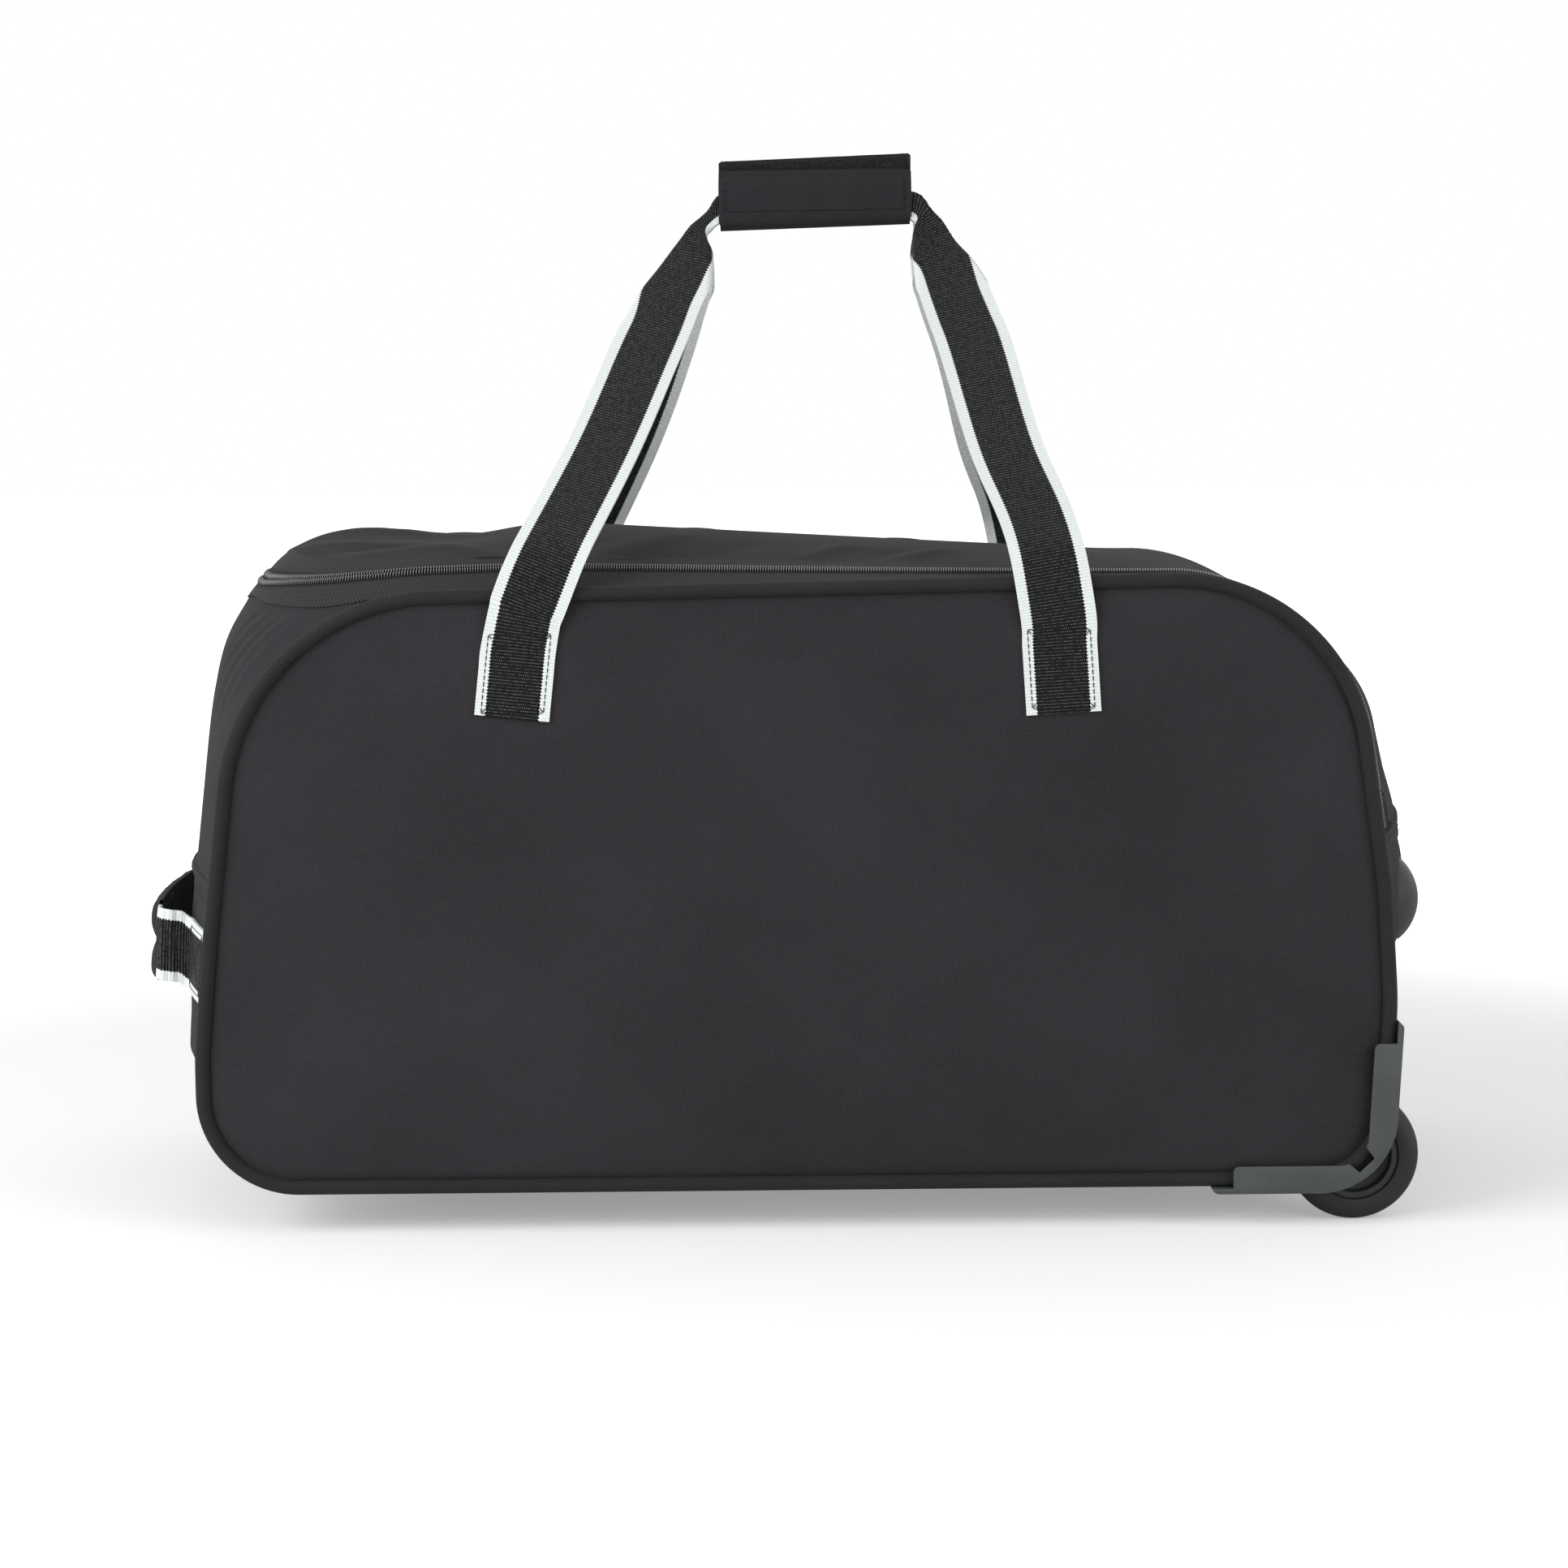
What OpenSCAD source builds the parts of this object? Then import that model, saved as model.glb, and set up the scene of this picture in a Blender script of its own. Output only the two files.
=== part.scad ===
// Rolling duffel bag: a stuffed fabric body on two corner wheels, with a lid that a U-shaped zip frees,
// two webbing carry handles held together by a hook-and-loop grip, and a webbing pull handle on one end.
// Millimetres. +X points to the wheel end, -Y to the plain back, +Z up, and the floor is Z = 0.

/* [Body] */
// Length of a side panel between its end seams
panel_l = 694; // [650:1:760]
// Height of a side panel between its lower and upper seams
panel_h = 353; // [335:1:390]
// Width of the bag between its two piped seams
bag_w = 310; // [290:1:350]
// Gap between the floor and the underside of the piping
floor_gap = 23.4; // [20:0.2:26]
// Thickness of the lined fabric walls
fabric_t = 2; // [1.4:0.1:3]
// Half thickness of the piping
piping_r = 4.2; // [3.6:0.1:5]
// How far a side panel swells out at its middle
panel_crown = 16; // [6:1:24]

/* [Side outline] */
// How far the wheel end leans in at the top seam
wheel_end_lean = 29; // [20:1:45]
// How far the handle end leans in at the top seam
handle_end_lean = 30; // [20:1:50]
// How much lower the top seam is at the handle end
top_drop = 9; // [0:1:20]
// Corner radius at the foot of the handle end
handle_foot_r = 55; // [40:1:66]
// Corner radius at the foot of the wheel end
wheel_foot_r = 45; // [40:1:46]
// Corner radius at the top of the wheel end
wheel_top_r = 112; // [90:1:125]
// Corner radius at the top of the handle end
handle_top_r = 125; // [95:1:130]
// How far the wheel end swells out between the seams
wheel_end_swell = 30; // [20:1:36]
// How far the handle end swells out between the seams
handle_end_swell = 30; // [20:1:36]
// How far the lid swells up at the wheel end
lid_low_swell = 8; // [4:1:12]
// How far the lid swells up at the handle end
lid_high_swell = 40; // [30:1:48]
// How much further the lid's stuffed corner stands out at the handle end
lid_corner_swell = 15; // [6:1:20]

/* [Lid and zip] */
// Height of the wheel end's folded seam above the lower seam
wheel_seam_h = 201; // [195:1:220]
// Height of the handle end's seam above the lower seam
handle_seam_h = 178; // [170:1:200]
// Height of the fixed strip between the folded seam and the lid's bending line
hinge_strip = 24; // [20:1:30]
// Distance from the bag's middle to the zip along each side
zip_y = 122; // [110:1:130]
// Corner radius of the zip at the handle end
zip_r = 85; // [60:1:95]
// Where the zip crosses the handle end's top corner, as a share of the corner
zip_cross = 0.5; // [0.4:0.01:0.7]
// Width of one zip coil
coil_w = 3; // [2.4:0.1:3.6]
// Thickness of a zip coil
coil_t = 2.6; // [2:0.1:3.2]

/* [Carry handles] */
// Width of the webbing
webbing_w = 43; // [36:1:46]
// Thickness of the webbing
webbing_t = 2; // [1.6:0.1:2.6]
// Distance between the two sewn ends of a handle
handle_span = 308; // [280:1:340]
// How far the handles sit towards the handle end
handle_shift = 1; // [0:1:12]
// Height from a sewn end's foot up to the top seam
patch_h = 77; // [71:1:89]
// Length of a sewn end
patch_l = 50; // [40:1:56]
// Height of the middle of the grip above the floor
grip_z = 607.8; // [580:0.2:640]
// Length of the grip
grip_l = 116; // [100:1:130]
// Height of the grip
grip_h = 44; // [42:1:52]
// How far the grip sits towards the wheel end
grip_x = 17; // [0:1:24]

/* [End handle] */
// Height of the end handle's middle above the lower seam
end_handle_h = 126; // [115:1:135]
// How far the end handle stands off the fabric
end_handle_reach = 22; // [16:1:28]
// Half length of the end handle's free loop
end_handle_half = 100; // [90:1:108]
// Half length of the dark fabric grip on the end handle
end_grip_half = 84; // [25:1:86]

/* [Wheels and guards] */
// Radius of a wheel
wheel_r = 38.6; // [37:0.1:41]
// Width of a wheel
wheel_w = 22; // [20:0.5:25]
// Distance from the wheel axle to the wheel end's seam
wheel_inset = 19.2; // [14:0.2:20]
// Radius of a wheel axle
axle_r = 4; // [3:0.1:5]
// Outer radius of a wheel bearing
bearing_r = 11; // [9:0.5:12]
// Width of a wheel bearing
bearing_w = 7; // [5:0.5:8]
// Wall of the corner guard
guard_t = 3; // [2.4:0.1:4]
// Length of the corner guard under the base
guard_l = 109; // [108:1:130]
// Height of the corner guard up the wheel end
guard_h = 98; // [96:0.5:106]
// Width of the corner guard across the bag
guard_w = 74; // [66:1:80]
// Inner corner radius of the guard
guard_r = 43; // [40:1:50]
// Width of the guard's lip on the side panel
lip_w = 13; // [12:0.5:20]

/* [Feet and board] */
// Radius of a foot
foot_r = 25; // [20:1:28]
// Height of an end foot
end_foot_h = 12; // [10:0.5:16]
// Height of an end foot's middle above the lower seam
end_foot_z = 155; // [148:1:165]
// Distance from the bag's middle to an end foot
end_foot_y = 90; // [70:1:95]
// Distance from the bag's middle to a base foot
base_foot_y = 32; // [26:1:60]
// Distance from the handle end's seam to the base feet
base_foot_inset = 92; // [85:1:130]
// Thickness of the base board
board_t = 3; // [2:0.5:5]
// Radius of a rivet's shank
rivet_r = 2; // [1.5:0.1:2.5]

/* [Hidden] */
$fn = 64;

fabric = [0.20, 0.195, 0.205];
fabric_dark = [0.15, 0.145, 0.155];
webbing_black = [0.12, 0.12, 0.13];
plastic_grey = [0.30, 0.31, 0.32];
rubber_grey = [0.22, 0.22, 0.23];
steel = [0.60, 0.61, 0.63];

// Fits
gap = 0.4;
running = 0.05;
seat = 0.3;
// How far pieces moulded in one run into each other
weld = 0.5;

// Frame of the body
half_l = panel_l / 2;
half_w = bag_w / 2;
seam_z = floor_gap + piping_r;
gusset_half = half_w - piping_r;
guard_top_splay = 6;
guard_top_r = 200;
knee_r = 150;
handle_knee_r = 180;
knee_in = 4;
knee_h = 172;
handle_knee_h = 80;
handle_swell_h = 145;
handle_bow = 1;
handle_knee_in = handle_end_lean * (handle_swell_h - handle_knee_h) / (panel_h - handle_knee_h) - handle_bow;
upper_swell = 0.75 * wheel_end_swell;
wheel_corner_sink = -14;
low_swell = 0.85 * handle_end_swell;
foot_swell = 0.45 * handle_end_swell;

// Corners of the seam, anticlockwise from the foot of the handle end:
// x, height, radius, swell before, swell after and extra swell halfway round
corners = [
    [-half_l, 0, handle_foot_r, foot_swell, 0, 0],
    [half_l - guard_top_splay, 0, wheel_foot_r, 0, 0, 0],
    [half_l, guard_h + guard_top_splay, guard_top_r, 0, 0, 0],
    [half_l - knee_in, knee_h, knee_r, wheel_end_swell, wheel_end_swell, 0],
    [half_l - wheel_end_lean, panel_h, wheel_top_r, upper_swell, lid_low_swell, wheel_corner_sink],
    [-half_l + handle_end_lean, panel_h - top_drop, handle_top_r, lid_high_swell, handle_end_swell,
     lid_corner_swell],
    [-half_l + handle_knee_in, handle_swell_h, handle_knee_r, handle_end_swell, handle_end_swell, 0],
    [-half_l, handle_knee_h, handle_knee_r, low_swell, low_swell, 0]
];
corner_n = len(corners);

function unit(v) = v / norm(v);
function mix(a, b, f) = a + (b - a) * f;
function smooth(f) = f * f * (3 - 2 * f);
function spaced(a, b, n) = [for (i = [0:n]) mix(a, b, i / n)];
function total(list, n) = n == 0 ? 0 : list[n - 1] + total(list, n - 1);

// The seam as a run of arcs and straight edges, measured along its length
corner_at = [for (c = corners) [c[0], c[1] + seam_z]];
edge_dir = [for (k = [0:corner_n - 1]) unit(corner_at[(k + 1) % corner_n] - corner_at[k])];
edge_angle = [for (d = edge_dir) atan2(d[1], d[0]) - 90];
function before(k) = (k + corner_n - 1) % corner_n;
function between(a, b) = (b - a + 720) % 360;
corner_turn = [for (k = [0:corner_n - 1]) between(edge_angle[before(k)], edge_angle[k])];
corner_cut = [for (k = [0:corner_n - 1]) corners[k][2] * tan(corner_turn[k] / 2)];
arc_l = [for (k = [0:corner_n - 1]) corners[k][2] * corner_turn[k] * PI / 180];
edge_l = [for (k = [0:corner_n - 1])
    let (next = (k + 1) % corner_n)
    norm(corner_at[next] - corner_at[k]) - corner_cut[k] - corner_cut[next]];
run_l = [for (k = [0:corner_n - 1]) each [arc_l[k], edge_l[k]]];
run_start = [for (i = [0:len(run_l)]) total(run_l, i)];
seam_l = run_start[len(run_l)];

function normal_at(a) = [cos(a), sin(a)];
function arc_start(k) = corner_at[k] - edge_dir[before(k)] * corner_cut[k];
function arc_centre(k) = arc_start(k) - normal_at(edge_angle[before(k)]) * corners[k][2];
function arc_end(k) = corner_at[k] + edge_dir[k] * corner_cut[k];

function corner_swell(c, f) = mix(c[3], c[4], smooth(f)) + c[5] * pow(sin(180 * f), 2);
// Point, outward normal and swell at length s along the seam
function along(s) =
    let (
        i = max([for (j = [0:len(run_l) - 1]) if (run_start[j] <= s || j == 0) j]),
        k = floor(i / 2),
        f = (s - run_start[i]) / run_l[i]
    )
    i % 2 == 0
        ? let (n = normal_at(edge_angle[before(k)] + corner_turn[k] * f))
          [arc_centre(k) + n * corners[k][2], n, corner_swell(corners[k], f)]
        : [arc_end(k) + edge_dir[k] * edge_l[k] * f, normal_at(edge_angle[k]),
           mix(corners[k][4], corners[(k + 1) % corner_n][3], f)];

// Point on the band of fabric that joins the two side panels, lifted off its mid surface
function skin(s, y, lift = 0) =
    let (
        a = along(s),
        v = y / gusset_half,
        p = a[0] + a[1] * (a[2] * (1 - v * v) + lift)
    )
    [p[0], y, p[1]];

// Length along the seam where edge k reaches a height, or a place along the base
function at_height(k, z) =
    run_start[2 * k + 1] + (z - arc_end(k)[1]) / edge_dir[k][1];
function at_place(k, x) =
    run_start[2 * k + 1] + (x - arc_end(k)[0]) / edge_dir[k][0];

arc_step = 13;
edge_step = 62;
function run_steps(i) = i % 2 == 0
    ? max(1, ceil(corner_turn[i / 2] / arc_step))
    : max(1, round(run_l[i] / edge_step));
stations = [for (i = [0:len(run_l) - 1]) each [for (j = [0:run_steps(i) - 1])
    run_start[i] + run_l[i] * j / run_steps(i)]];

// Solid through a list of rings of equal, even count, each clockwise seen along the path
module loft(rings, closed = false) {
    n = len(rings);
    m = len(rings[0]);
    function at(i, j) = (i % n) * m + j % m;
    sides = [for (i = [0:closed ? n - 1 : n - 2]) for (j = [0:m - 1])
        each [[at(i, j), at(i + 1, j), at(i + 1, j + 1)], [at(i, j), at(i + 1, j + 1), at(i, j + 1)]]];
    starts = [for (j = [0:m / 2 - 2])
        each [[at(0, j), at(0, j + 1), at(0, m - 2 - j)], [at(0, j), at(0, m - 2 - j), at(0, m - 1 - j)]]];
    e = n - 1;
    ends = [for (j = [0:m / 2 - 2]) each [
        [at(e, j + 1), at(e, j), at(e, m - 1 - j)],
        [at(e, j + 1), at(e, m - 1 - j), at(e, m - 2 - j)]]];
    polyhedron(points = [for (r = rings) each r],
        faces = closed ? sides : concat(sides, starts, ends), convexity = 6);
}

// Closed sleeve between an outer and an inner run of rings
module sleeve(outer, inner) {
    n = len(outer);
    m = len(outer[0]);
    function o(i, j) = i * m + j % m;
    function q(i, j) = n * m + i * m + j % m;
    e = n - 1;
    faces = [for (j = [0:m - 1]) each concat(
        [for (i = [0:n - 2]) each [
            [o(i, j), o(i + 1, j), o(i + 1, j + 1)], [o(i, j), o(i + 1, j + 1), o(i, j + 1)],
            [q(i, j), q(i + 1, j + 1), q(i + 1, j)], [q(i, j), q(i, j + 1), q(i + 1, j + 1)]]],
        [[o(0, j), o(0, j + 1), q(0, j + 1)], [o(0, j), q(0, j + 1), q(0, j)],
         [o(e, j + 1), o(e, j), q(e, j)], [o(e, j + 1), q(e, j), q(e, j + 1)]])];
    polyhedron(points = [for (r = concat(outer, inner)) each r], faces = faces, convexity = 6);
}

// Piece of the fabric band: for each length s, the stretch of y that it spans
columns = 8;
function fabric_ring(s, y0, y1, n, t) = concat(
    [for (y = spaced(y0, y1, n)) skin(s, y, t / 2)],
    [for (y = spaced(y1, y0, n)) skin(s, y, -t / 2)]);
module fabric_piece(rows, n = columns) {
    loft([for (r = rows) fabric_ring(r[0], r[1], r[2], n, fabric_t)]);
}
row_step = 34;
fine_step = 12;
function rows_between(s0, s1, step = row_step) = spaced(s0, s1, max(2, round((s1 - s0) / step)));
function full_rows(s0, s1, step = row_step) =
    [for (s = rows_between(s0, s1, step)) [s, -gusset_half, gusset_half]];

// Places along the seam
well_r = wheel_r + 2.8;
well_t = 2.2;
wheel_x = half_l - wheel_inset;
base_edge = 0;
wheel_low_edge = 1;
wheel_high_edge = 3;
handle_high_edge = 5;
handle_low_edge = 6;
s_well_floor = at_place(base_edge, wheel_x - well_r - well_t - gap);
s_well_top = at_height(wheel_low_edge, wheel_r + well_r + well_t + gap);
s_wheel_seam = at_height(wheel_high_edge, seam_z + wheel_seam_h);
s_hinge = at_height(wheel_high_edge, seam_z + wheel_seam_h + hinge_strip);
s_zip_end = run_start[10] + zip_cross * arc_l[5];
s_handle_seam = at_height(handle_high_edge, seam_z + handle_seam_h);

// The zip's U on the unrolled fabric: half width at length s, for a line set out from the zip by off
function zip_rows(s0, off) =
    let (s_bend = s_zip_end - zip_r)
    concat(
        [for (s = rows_between(s0, s_bend)) [s, zip_y + off]],
        [for (a = spaced(0, 90, 7)) if (a > 0)
            [s_bend + (zip_r + off) * sin(a), zip_y - zip_r + (zip_r + off) * cos(a)]]);
function mirrored(rows) = concat(
    [for (r = rows) [r[0], -r[1]]],
    [for (i = [len(rows) - 1:-1:0]) rows[i]]);

// Closed strip that follows the zip from one end to the other
module zip_strip(s0, off0, off1, t) {
    a = mirrored(zip_rows(s0, off0));
    b = mirrored(zip_rows(s0, off1));
    loft([for (i = [0:len(a) - 1]) [
        skin(b[i][0], b[i][1], t / 2), skin(a[i][0], a[i][1], t / 2),
        skin(a[i][0], a[i][1], -t / 2), skin(b[i][0], b[i][1], -t / 2)]]);
}
// Straight stretch of one coil beside the fixed strip
module coil_stub(s0, s1, y0, y1) {
    h = coil_t / 2;
    loft([for (s = spaced(s0, s1, 1)) [skin(s, y0, h), skin(s, y1, h), skin(s, y1, -h), skin(s, y0, -h)]]);
}

// Side panels
panel_mid = [0, seam_z + panel_h / 2];
panel_rings = [1, 0.93, 0.84, 0.7, 0.5, 0.25];
panel_edge = [for (s = stations) let (a = along(s)) a[0] - a[1] * piping_r];
edge_n = len(panel_edge);
function panel_swell(k) = panel_crown * (1 - k * k);
// How far a point of the side panel lies from its middle, as a share of the way to the edge
function panel_share(p) = max([for (i = [0:edge_n - 1])
    let (
        a = panel_edge[i],
        d = panel_edge[(i + 1) % edge_n] - a,
        n = [d[1], -d[0]]
    )
    (n * (p - panel_mid)) / (n * (a - panel_mid))]);
function panel_y(p) = half_w + panel_swell(panel_share(p)) + fabric_t / 2;

module side_panel(side) {
    n = edge_n;
    m = len(panel_rings);
    layer = n * m + 1;
    function xz(i, k) = mix(panel_mid, panel_edge[i], k);
    function lay(t) = concat(
        [for (k = panel_rings) for (i = [0:n - 1])
            let (p = xz(i, k)) [p[0], side * (half_w + panel_swell(k) + t), p[1]]],
        [[panel_mid[0], side * (half_w + panel_swell(0) + t), panel_mid[1]]]);
    function at(l, a, i) = l * layer + a * n + i % n;
    function quad(a, b, c, d) = [[a, b, c], [a, c, d]];
    faces = concat(
        [for (a = [0:m - 2]) for (i = [0:n - 1]) each concat(
            quad(at(0, a, i), at(0, a + 1, i), at(0, a + 1, i + 1), at(0, a, i + 1)),
            quad(at(1, a, i), at(1, a, i + 1), at(1, a + 1, i + 1), at(1, a + 1, i)))],
        [for (i = [0:n - 1]) each concat(
            [[at(0, m - 1, i), layer - 1, at(0, m - 1, i + 1)],
             [at(1, m - 1, i), at(1, m - 1, i + 1), 2 * layer - 1]],
            quad(at(0, 0, i), at(0, 0, i + 1), at(1, 0, i + 1), at(1, 0, i)))]);
    polyhedron(points = concat(lay(fabric_t / 2), lay(-fabric_t / 2)),
        faces = side < 0 ? faces : [for (f = faces) [f[0], f[2], f[1]]], convexity = 6);
}

// Eight-sided welt round a side panel, with flats against the panel and the fabric band
module piping(side) {
    corner = piping_r / cos(22.5);
    loft([for (s = stations)
        let (a = along(s))
        [for (j = [0:7])
            let (
                t = 22.5 + 45 * j,
                p = a[0] + a[1] * corner * sin(t)
            )
            [p[0], side * half_w - corner * cos(t), p[1]]]], closed = true);
}

module back_panel() { color(fabric) side_panel(-1); }
module front_panel() { color(fabric) side_panel(1); }
module back_piping() { color(fabric_dark) piping(-1); }
module front_piping() { color(fabric_dark) piping(1); }

// Base, ends and the strips round the lid
board_z = seam_z + fabric_t / 2;
board_top = board_z + board_t;
guard_in_y = half_w + piping_r + gap + guard_t - guard_w;
base_foot_x = -half_l + base_foot_inset;
rivet_x = wheel_x - well_r - well_t - 24;
rivet_ys = [half_w - 18, guard_in_y + 12];
end_rivet_drop = 18;
end_rivet_y = guard_in_y + 16;
hole_r = rivet_r + 0.1;
hole_reach = 20;

module base_holes() {
    for (side = [-1, 1]) {
        for (y = rivet_ys) {
            translate([rivet_x, side * y, seam_z - hole_reach])
                cylinder(r = hole_r, h = 2 * hole_reach);
        }
        translate([base_foot_x, side * base_foot_y, seam_z - hole_reach])
            cylinder(r = hole_r, h = 2 * hole_reach);
    }
}
module base_panel() {
    color(fabric_dark) difference() {
        fabric_piece(full_rows(0, s_well_floor));
        base_holes();
    }
}
well_in_y = half_w - piping_r - gap - 2 * well_t - wheel_w - 3;
module wheel_corner_panel() {
    y = well_in_y - gap;
    color(fabric_dark)
        fabric_piece([for (s = spaced(s_well_floor, s_well_top, 9)) [s, -y, y]]);
}

// Outward direction and place of an end foot on the wheel end
s_end_foot = at_height(2, seam_z + end_foot_z);
foot_lift = 5 * seat;
function foot_base(side) = skin(s_end_foot, side * end_foot_y, fabric_t / 2 + foot_lift);
function foot_axis(side) =
    let (
        d = 5,
        y = side * end_foot_y,
        a = skin(s_end_foot + d, y) - skin(s_end_foot - d, y),
        b = skin(s_end_foot, y + d) - skin(s_end_foot, y - d)
    )
    unit(cross(b, a));
module towards(v) {
    rotate([0, acos(v[2]), atan2(v[1], v[0])])
        children();
}
// Place on the wheel end's seam plane where a guard's end rivet passes, facing out of the bag
module at_end_rivet(y) {
    a = along(at_height(wheel_low_edge, seam_z + guard_h - end_rivet_drop));
    translate([a[0][0], y, a[0][1]])
        towards([a[1][0], 0, a[1][1]])
            children();
}
module end_holes() {
    for (side = [-1, 1]) {
        translate(foot_base(side))
            towards(foot_axis(side))
                translate([0, 0, -hole_reach])
                    cylinder(r = hole_r, h = 2 * hole_reach);
        at_end_rivet(side * end_rivet_y)
            translate([0, 0, -hole_reach])
                cylinder(r = hole_r, h = 2 * hole_reach);
    }
}
module wheel_end_panel() {
    color(fabric_dark) difference() {
        fabric_piece(full_rows(s_well_top, s_wheel_seam, fine_step), 2 * columns);
        end_holes();
    }
}
module handle_end_panel() {
    color(fabric_dark) fabric_piece(full_rows(s_handle_seam, seam_l));
}
module handle_end_upper() {
    color(fabric_dark) fabric_piece(full_rows(s_zip_end + coil_w + seat, s_handle_seam));
}
module zip_band(side) {
    rows = zip_rows(s_wheel_seam, coil_w + seat);
    fabric_piece([for (r = rows) side < 0 ? [r[0], -gusset_half, -r[1]] : [r[0], r[1], gusset_half]], 2);
}
module back_zip_band() { color(fabric_dark) zip_band(-1); }
module front_zip_band() { color(fabric_dark) zip_band(1); }
lid_off = -coil_w - seat;
module lid_hinge_strip() {
    y = zip_y + lid_off;
    color(fabric_dark)
        fabric_piece([for (s = spaced(s_wheel_seam, s_hinge - gap, 1)) [s, -y, y]]);
}
module lid_panel() {
    color(fabric_dark)
        fabric_piece([for (r = zip_rows(s_hinge, lid_off)) [r[0], -r[1], r[1]]]);
}

// Zip: the half on the body runs on beside the fixed strip, and a thin slot parts the halves for the slider
slider_l = 15;
s_stub = s_wheel_seam + 1;
slot_half = 1;
module zip_coil_body() {
    color(fabric_dark) {
        zip_strip(s_stub, slot_half, coil_w, coil_t);
        for (side = [-1, 1]) {
            y0 = side < 0 ? -zip_y + slot_half : zip_y - coil_w;
            coil_stub(s_stub, s_hinge - gap, y0, y0 + coil_w - slot_half);
        }
    }
}
module zip_coil_lid() {
    color(fabric_dark) zip_strip(s_hinge, -coil_w, -slot_half, coil_t);
}

// Slider parked at the end of the zip on the front side, with its pull hanging down
slide_travel = 34;
slider_w = 9;
slider_t = 1.6;
slider_y = zip_y;
s_slider = s_wheel_seam + slider_l / 2 + 2;
slider_low = skin(s_slider, slider_y);
slider_high = skin(s_slider + slide_travel, slider_y);
slide_dir = unit(slider_high - slider_low);
slide_out = unit(cross(skin(s_slider, slider_y + 1) - slider_low, slide_dir));
slide_side = cross(slide_dir, slide_out);
bail_h = 5;
pull_l = 34;
pull_w = 9;
pull_t = 2.4;
pull_pin_r = 1.1;
inner_gap = coil_t / 2 + 1.2;
module on_slider() {
    x = slide_out;
    y = slide_side;
    z = slide_dir;
    translate(slider_low)
        multmatrix([[x[0], y[0], z[0], 0], [x[1], y[1], z[1], 0], [x[2], y[2], z[2], 0]])
            children();
}
module zip_slider() {
    neck_t = 2 * (slot_half - 2 * seat);
    neck_l = 3;
    bail_w = 3;
    color(steel) on_slider() {
        for (x = [inner_gap, -inner_gap - slider_t]) {
            translate([x, -slider_w / 2, -slider_l / 2])
                cube([slider_t, slider_w, slider_l]);
        }
        translate([-inner_gap, -neck_t / 2, -slider_l / 2])
            cube([2 * inner_gap, neck_t, neck_l]);
        translate([inner_gap + slider_t, 0, 0])
            difference() {
                translate([0, -bail_w / 2, -bail_h])
                    cube([bail_h, bail_w, 2 * bail_h]);
                translate([bail_h / 2, -bail_w, 0])
                    rotate([-90, 0, 0])
                        cylinder(r = pull_pin_r + running, h = 2 * bail_w);
            }
    }
}
module zip_pull() {
    eye_r = 3.4;
    fork = 3.4;
    drop = 8;
    color(webbing_black) on_slider()
        translate([inner_gap + slider_t + bail_h / 2, 0, 0]) {
            translate([0, -pull_w / 2, 0])
                rotate([-90, 0, 0])
                    cylinder(r = pull_pin_r, h = pull_w);
            for (side = [-1, 1]) {
                translate([0, side * (pull_w + fork) / 4 - (pull_w - fork) / 4, 0])
                    rotate([-90, 0, 0])
                        cylinder(r = eye_r / 2, h = (pull_w - fork) / 2);
                translate([-pull_t / 2, side * (pull_w + fork) / 4 - (pull_w - fork) / 4, -drop])
                    cube([pull_t, (pull_w - fork) / 2, drop]);
            }
            translate([-pull_t / 2, 0, -pull_l])
                rotate([0, 90, 0])
                    linear_extrude(pull_t) {
                        translate([-pull_l + drop, -pull_w / 2])
                            square([pull_l - drop, pull_w]);
                        circle(d = pull_w);
                    }
        }
}

// Stiff board on the floor of the bag
module base_board() {
    x0 = -half_l + handle_foot_r + 20;
    x1 = wheel_x - well_r - well_t - 8;
    r = 20;
    y = gusset_half - 8;
    color(webbing_black) difference() {
        translate([0, 0, board_z])
            linear_extrude(board_t) {
                translate([x0, -y + r])
                    square([x1 - x0, 2 * (y - r)]);
                translate([x0 + r, -y])
                    square([x1 - x0 - 2 * r, 2 * y]);
                for (x = [x0 + r, x1 - r]) {
                    for (side = [-1, 1]) {
                        translate([x, side * (y - r)])
                            circle(r);
                    }
                }
            }
        base_holes();
    }
}

// Sewn ends of the carry handles, flat on the side panels
handle_xs = [-handle_span / 2 - handle_shift, handle_span / 2 - handle_shift];
handle_lean = [6, 3];
patch_z = seam_z + panel_h - patch_h;
hinge_z = patch_z + patch_l;
web_seat = 2 * seat;
web_lift = web_seat + webbing_t / 2;
web_half = webbing_w / 2;
hinge_y = max([for (x = handle_xs) for (w = [-web_half, web_half]) panel_y([x + w, hinge_z])]) + web_lift;
module handle_ends(side) {
    for (i = [0, 1]) {
        loft([for (z = spaced(patch_z, hinge_z - 2 * gap, 4))
            let (
                x = handle_xs[i] + (z - hinge_z) * tan(handle_lean[i] * (1 - 2 * i)),
                w = web_half,
                y = max(panel_y([x - w, z]), panel_y([x + w, z])) + web_seat
            )
            side < 0
                ? [[x - w, -y, z], [x - w, -y - webbing_t, z], [x + w, -y - webbing_t, z], [x + w, -y, z]]
                : [[x + w, y, z], [x + w, y + webbing_t, z], [x - w, y + webbing_t, z], [x - w, y, z]]]);
    }
}
module back_handle_ends() { color(webbing_black) handle_ends(-1); }
module front_handle_ends() { color(webbing_black) handle_ends(1); }

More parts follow.
